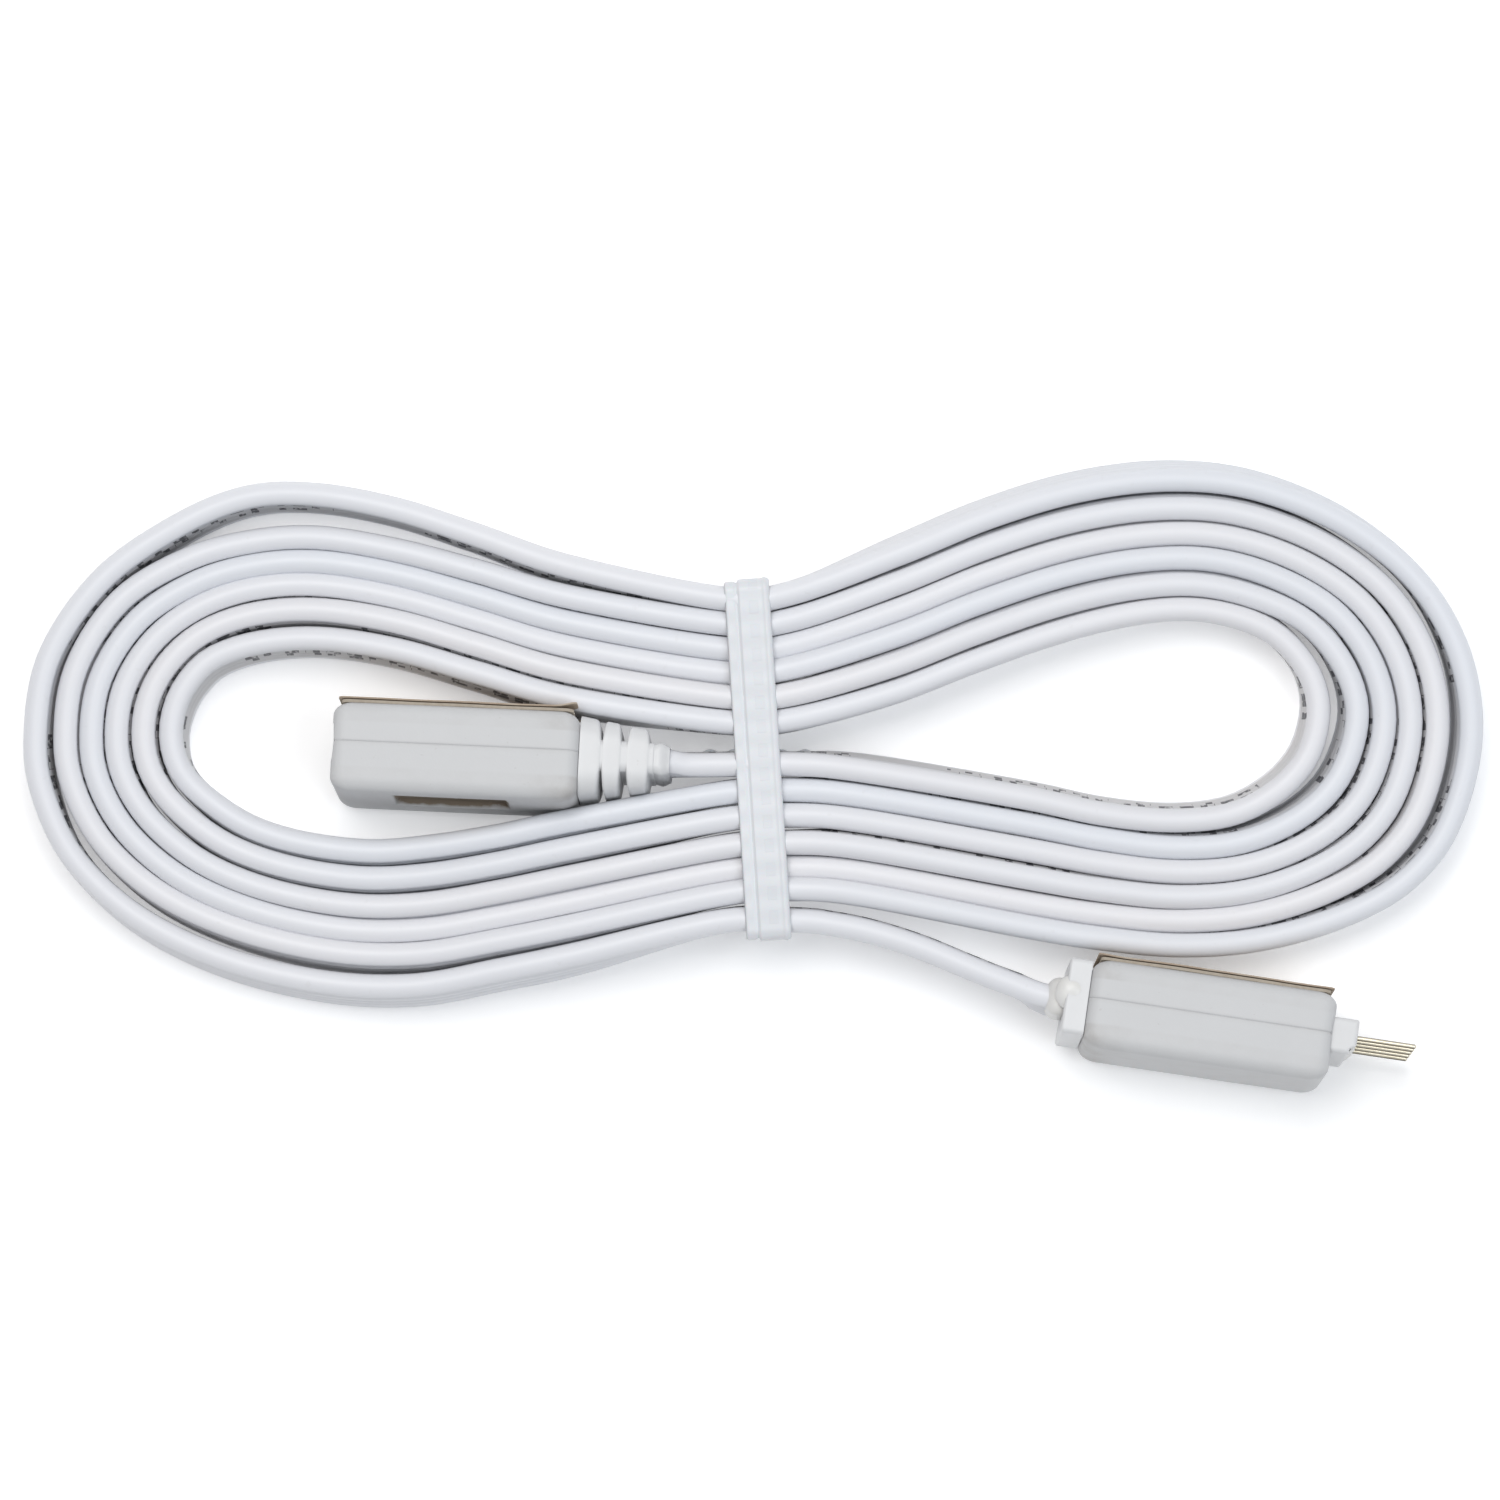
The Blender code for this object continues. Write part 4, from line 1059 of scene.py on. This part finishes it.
def build_header(settings, plug):
    """The header block with its sunk front, the glue in it and the pins.

    Each is a stack of rounded rectangles along local X; a pin's are circles that narrow to a
    blunt tip by a quarter circle. One long edge of the block's front slopes back.
    """
    low, high = (value * MM for value in HEADER_SPAN)
    half_y, half_z = (value * MM for value in HEADER_HALF)
    sunk, chamfer, body, floor = 0.5 * MM, 0.15 * MM, 20, 8
    x = np.concatenate([
        np.full(6, low), np.linspace(low, high - chamfer, body), [high, high, high],
        np.linspace(high, high - sunk, 6)[1:], np.full(floor, high - sunk),
    ])
    inset = np.concatenate([
        np.zeros(6 + body), [chamfer, 2 * chamfer, 0.55 * MM], np.full(5 + floor, 0.62 * MM)
    ])
    scale = np.concatenate([
        np.linspace(0.05, 1, 6), np.ones(body + 8), np.linspace(1, 0.05, floor)
    ])
    corner = np.maximum(HEADER_ROUNDING * MM - 0.5 * inset, 0.1 * MM)
    rings = rounded_rings((half_y - inset) * scale, (half_z - inset) * scale, corner * scale, 6, 16)
    # Painted shade darkens the sunk front; the rest of the block gets a little
    painted_shade_and_grime = np.where(inset > 0.5 * MM, 1.0, 0.2)[:, None]
    grid = stack_up(x, rings)
    slope = smooth_step(-grid[..., 1], 0.9 * MM, 1.4 * MM) * smooth_step(grid[..., 0], low, high)
    grid[..., 0] -= 0.7 * MM * slope
    block = closed_mesh("plug_header", grid, attributes={"painted_shade_and_grime": painted_shade_and_grime})
    place(block, plug, ("plug_header_block",), "moulding")

    cos, sin = arc_profile(0, 1, 12)
    x = high - 0.48 * MM + 0.62 * MM * np.concatenate([[0], sin])
    size = np.concatenate([[1.0], np.maximum(0.35 + 0.65 * cos, 0.02)])
    seal_y, seal_z = (value * MM * size for value in SEAL_HALF)
    grid = stack_up(x, rounded_rings(seal_y, seal_z, 0.6 * MM * size, 6, 24))
    grid[1:, :, 0] += 0.07 * MM * waves(grid[1:], 2.3 * MM, 11)
    place(closed_mesh("plug_seal", grid), plug, ("plug_pin_seal",), "glue")

    low, high = (value * MM for value in PIN_SPAN)
    radius, shank = settings.pin_diameter / 2, 24
    cos, sin = (values[1:] for values in arc_profile(0, 1, 8))
    x = np.concatenate([np.linspace(low, high - radius, shank), high - radius + radius * sin])
    size = np.concatenate([np.full(shank, radius), radius * np.maximum(cos, 0.25)])
    rings = rounded_rings(size, size, size, 6, 0)
    # Painted shade: each pin darker down its flanks, in place of dark reflections
    pin_flank_shade = abs(rings[..., 0]) / radius
    for number in range(5):
        grid = stack_up(x, rings) + (0, 0, (number - 2) * PIN_PITCH * MM)
        pin = closed_mesh(f"plug_contact_pin_{number + 1}", grid, attributes={"painted_shade_and_grime": pin_flank_shade})
        place(pin, plug, (f"plug_pin_{number + 1}",), "gold")


# ---------------- the tie


def build_tie(settings):
    """The band: a section of flange, groove, band and ridge carried round the hank's waist.

    The section is a height above the inner loop for each place across the band, and the loop is
    a rounded rectangle fitted inside the CAD band's box and turned by the tie's slant. Between
    the strands it dips by a cosine, and it sags by smooth waves.
    """
    low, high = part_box("tie_strap")
    centre = (np.array(low) + np.array(high)) / 2
    slant = settings.width * math.sin(TIE_SLANT)
    size = (np.array(high) - np.array(low)) / 2
    clear = settings.thickness + 0.1 * MM
    half_y = (size[1] - slant / 2) / math.cos(TIE_SLANT) - clear
    half_z = size[2] - clear
    across = np.linspace(-settings.width / 2, settings.width / 2, 30)
    from_edge = across + settings.width / 2
    groove_width, ridge_place, ridge_width = 0.13 * MM, 4.35 * MM, 0.16 * MM
    height = 0.62 + 0.38 * smooth_step(from_edge, settings.flange, settings.flange + 0.25 * MM)
    height = height - 0.45 * np.exp(-((from_edge - settings.flange) / groove_width) ** 2)
    height = height + 0.30 * np.exp(-((from_edge - ridge_place) / ridge_width) ** 2)
    edge = smooth_step(np.minimum(from_edge, settings.width - from_edge), -0.05 * MM, 0.12 * MM)
    outer = settings.thickness * height * (0.4 + 0.6 * edge)
    back = across[::-1][::3]
    places = np.concatenate([across, back])
    offset = np.concatenate([outer, 0 * back])
    rings = rounded_rings(half_y + offset, half_z + offset, 0.9 * MM + offset, 10, 60)
    y, z = rings[..., 0], rings[..., 1]
    strand_pitch = 2.72 * MM
    dip = 0.04 * MM * np.cos(2 * math.pi * y / strand_pitch) * (abs(z) > half_z * 0.97)
    sag = 0.06 * MM * waves(np.stack([0 * y, y, z], -1), 17 * MM, 21)
    z = z - np.sign(z) * (0.1 * MM - dip - sag) * (abs(y) < half_y)
    x = np.broadcast_to(places[:, None], y.shape)
    grid = np.stack([x, y, z], -1)
    steps = np.linalg.norm(np.diff(grid[0], axis=0), axis=1)
    along = np.concatenate([[0], np.cumsum(steps)])
    cover = np.concatenate([from_edge, np.zeros(len(back))])
    uv = np.stack(np.broadcast_arrays(along[None, :], cover[:, None]), -1)
    band = closed_mesh("tie_band", grid, loop=True, uv=uv)
    band.data.transform(Matrix.Translation(centre) @ Matrix.Rotation(TIE_SLANT, 4, "Z"))
    declare(band, ("tie_strap",), "tie")


# ---------------- the stage


def add_light(name, size, energy, location, colour):
    """A rectangular area light that points at the origin."""
    light = bpy.data.lights.new(name, "AREA")
    light.shape = "RECTANGLE"
    light.size, light.size_y = size
    light.energy = energy
    light.color = colour
    obj = add_object(name, light)
    obj.location = location
    obj.rotation_euler = (-Vector(location)).to_track_quat("-Z", "Y").to_euler()


def build_stage(settings):
    """White floor, a broad soft light from the far side and a fill, and the camera overhead."""
    scene = bpy.context.scene
    reach, level = 3.0, -0.05 * MM
    corners = [(-reach, -reach), (reach, -reach), (reach, reach), (-reach, reach)]
    floor_mesh = bpy.data.meshes.new("floor")
    floor_mesh.from_pydata([(x, y, level) for x, y in corners], [], [(0, 1, 2, 3)])
    floor = add_object("floor", floor_mesh)
    material, tree, shader = new_material("floor_white")
    set_inputs(
        tree, shader,
        Base_Color=mix_colour(
            tree, noise(tree, 2.0), (0.97, 0.97, 0.97, 1), (0.95, 0.95, 0.95, 1)
        ),
        Roughness=0.9,
        Specular_IOR_Level=0.1,
        Emission_Color=(1, 1, 1, 1),
        Emission_Strength=0.2,
    )
    floor_mesh.materials.append(material)
    add_light(
        "key", size=(0.70, 0.50), energy=6.5, location=(-0.15, 0.34, 1.0), colour=(1.0, 0.985, 0.97)
    )
    add_light(
        "cool_fill", size=(0.6, 0.6), energy=3.1, location=(0.52, -0.10, 1.0),
        colour=(0.88, 0.94, 1.0),
    )
    scene.world = scene.world or bpy.data.worlds.new("world")
    scene.world.use_nodes = True
    background = scene.world.node_tree.nodes["Background"]
    background.inputs["Color"].default_value = (0.95, 0.965, 1.0, 1)
    background.inputs["Strength"].default_value = 0.33
    scene.view_settings.view_transform = "Standard"
    camera = bpy.data.cameras.new("camera")
    camera.angle = settings.view_angle
    camera.clip_start = 0.01
    scene.camera = add_object("camera", camera)
    scene.camera.location = (settings.camera_x, settings.camera_y, settings.camera_height)


# ---------------- operators


class CORDKIT_OT_inner_parts(bpy.types.Operator):
    """Give the CAD nodes that stay their finished materials"""

    bl_idname = "cordkit.inner_parts"
    bl_label = "Inner parts"

    def execute(self, context):
        slots = {part["node"]: part["material_slot"] for part in frame["record"]["subparts"]}
        for name, obj in frame["nodes"].items():
            obj.material_slots[0].material = shared_materials()[slots[name]]
        return {"FINISHED"}


class CORDKIT_OT_shells(bpy.types.Operator):
    """Add both halves of the plug's and the socket's shell"""

    bl_idname = "cordkit.shells"
    bl_label = "Shells"

    def execute(self, context):
        build_shells(context.scene.extension_cord.connector, *connectors())
        return {"FINISHED"}


class CORDKIT_OT_adhesive(bpy.types.Operator):
    """Add the foam pads and their release liners"""

    bl_idname = "cordkit.adhesive"
    bl_label = "Adhesive pads"

    def execute(self, context):
        build_adhesive(*connectors())
        return {"FINISHED"}


class CORDKIT_OT_relief(bpy.types.Operator):
    """Add the socket's ribbed strain relief"""

    bl_idname = "cordkit.relief"
    bl_label = "Strain relief"

    def execute(self, context):
        build_relief(context.scene.extension_cord.cord, connectors()[1])
        return {"FINISHED"}


class CORDKIT_OT_collar(bpy.types.Operator):
    """Add the plug's collar and the glue on it"""

    bl_idname = "cordkit.collar"
    bl_label = "Collar and glue"

    def execute(self, context):
        build_collar(context.scene.extension_cord.cord, connectors()[0])
        return {"FINISHED"}


class CORDKIT_OT_header(bpy.types.Operator):
    """Add the plug's header block, its glue and its pins"""

    bl_idname = "cordkit.header"
    bl_label = "Header and pins"

    def execute(self, context):
        build_header(context.scene.extension_cord.connector, connectors()[0])
        return {"FINISHED"}


class CORDKIT_OT_cord(bpy.types.Operator):
    """Add the flat cord along its whole route"""

    bl_idname = "cordkit.cord"
    bl_label = "Cord"

    def execute(self, context):
        settings = context.scene.extension_cord.cord
        plug, socket = connectors()
        cord, path = build_cord(settings, plug, socket)
        with_plug = [
            obj for obj in bpy.data.objects
            if obj.name.startswith("plug_") and obj.name not in frame["nodes"]
        ]
        with_plug += [frame["nodes"][name] for name in PLUG_INSIDE]
        return {"FINISHED"}


class CORDKIT_OT_tie(bpy.types.Operator):
    """Add the tie's band"""

    bl_idname = "cordkit.tie"
    bl_label = "Tie"

    def execute(self, context):
        build_tie(context.scene.extension_cord.tie)
        return {"FINISHED"}


class CORDKIT_OT_stage(bpy.types.Operator):
    """Add the floor, the lights and the camera"""

    bl_idname = "cordkit.stage"
    bl_label = "Stage"

    def execute(self, context):
        build_stage(context.scene.extension_cord.stage)
        return {"FINISHED"}


OPERATORS = (
    CORDKIT_OT_inner_parts,
    CORDKIT_OT_shells,
    CORDKIT_OT_adhesive,
    CORDKIT_OT_relief,
    CORDKIT_OT_collar,
    CORDKIT_OT_header,
    CORDKIT_OT_cord,
    CORDKIT_OT_tie,
    CORDKIT_OT_stage,
)


class CORDKIT_PT_panel(bpy.types.Panel):
    bl_idname = "CORDKIT_PT_panel"
    bl_label = "Extension cord"
    bl_space_type = "VIEW_3D"
    bl_region_type = "UI"
    bl_category = "Extension cord"

    def draw(self, context):
        for operator in OPERATORS:
            self.layout.operator(operator.bl_idname)


CLASSES = (
    CordSettings,
    ConnectorSettings,
    TieSettings,
    StageSettings,
    ExtensionCordSettings,
    *OPERATORS,
    CORDKIT_PT_panel,
)


def register():
    for cls in CLASSES:
        bpy.utils.register_class(cls)
    bpy.types.Scene.extension_cord = bpy.props.PointerProperty(type=ExtensionCordSettings)


def unregister():
    del bpy.types.Scene.extension_cord
    for cls in reversed(CLASSES):
        bpy.utils.unregister_class(cls)


def main():
    register()
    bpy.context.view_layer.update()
    bpy.ops.cordkit.inner_parts()
    bpy.ops.cordkit.shells()
    bpy.ops.cordkit.adhesive()
    bpy.ops.cordkit.relief()
    bpy.ops.cordkit.collar()
    bpy.ops.cordkit.header()
    bpy.ops.cordkit.cord()
    bpy.ops.cordkit.tie()
    bpy.ops.cordkit.stage()


if __name__ == "__main__":
    main()
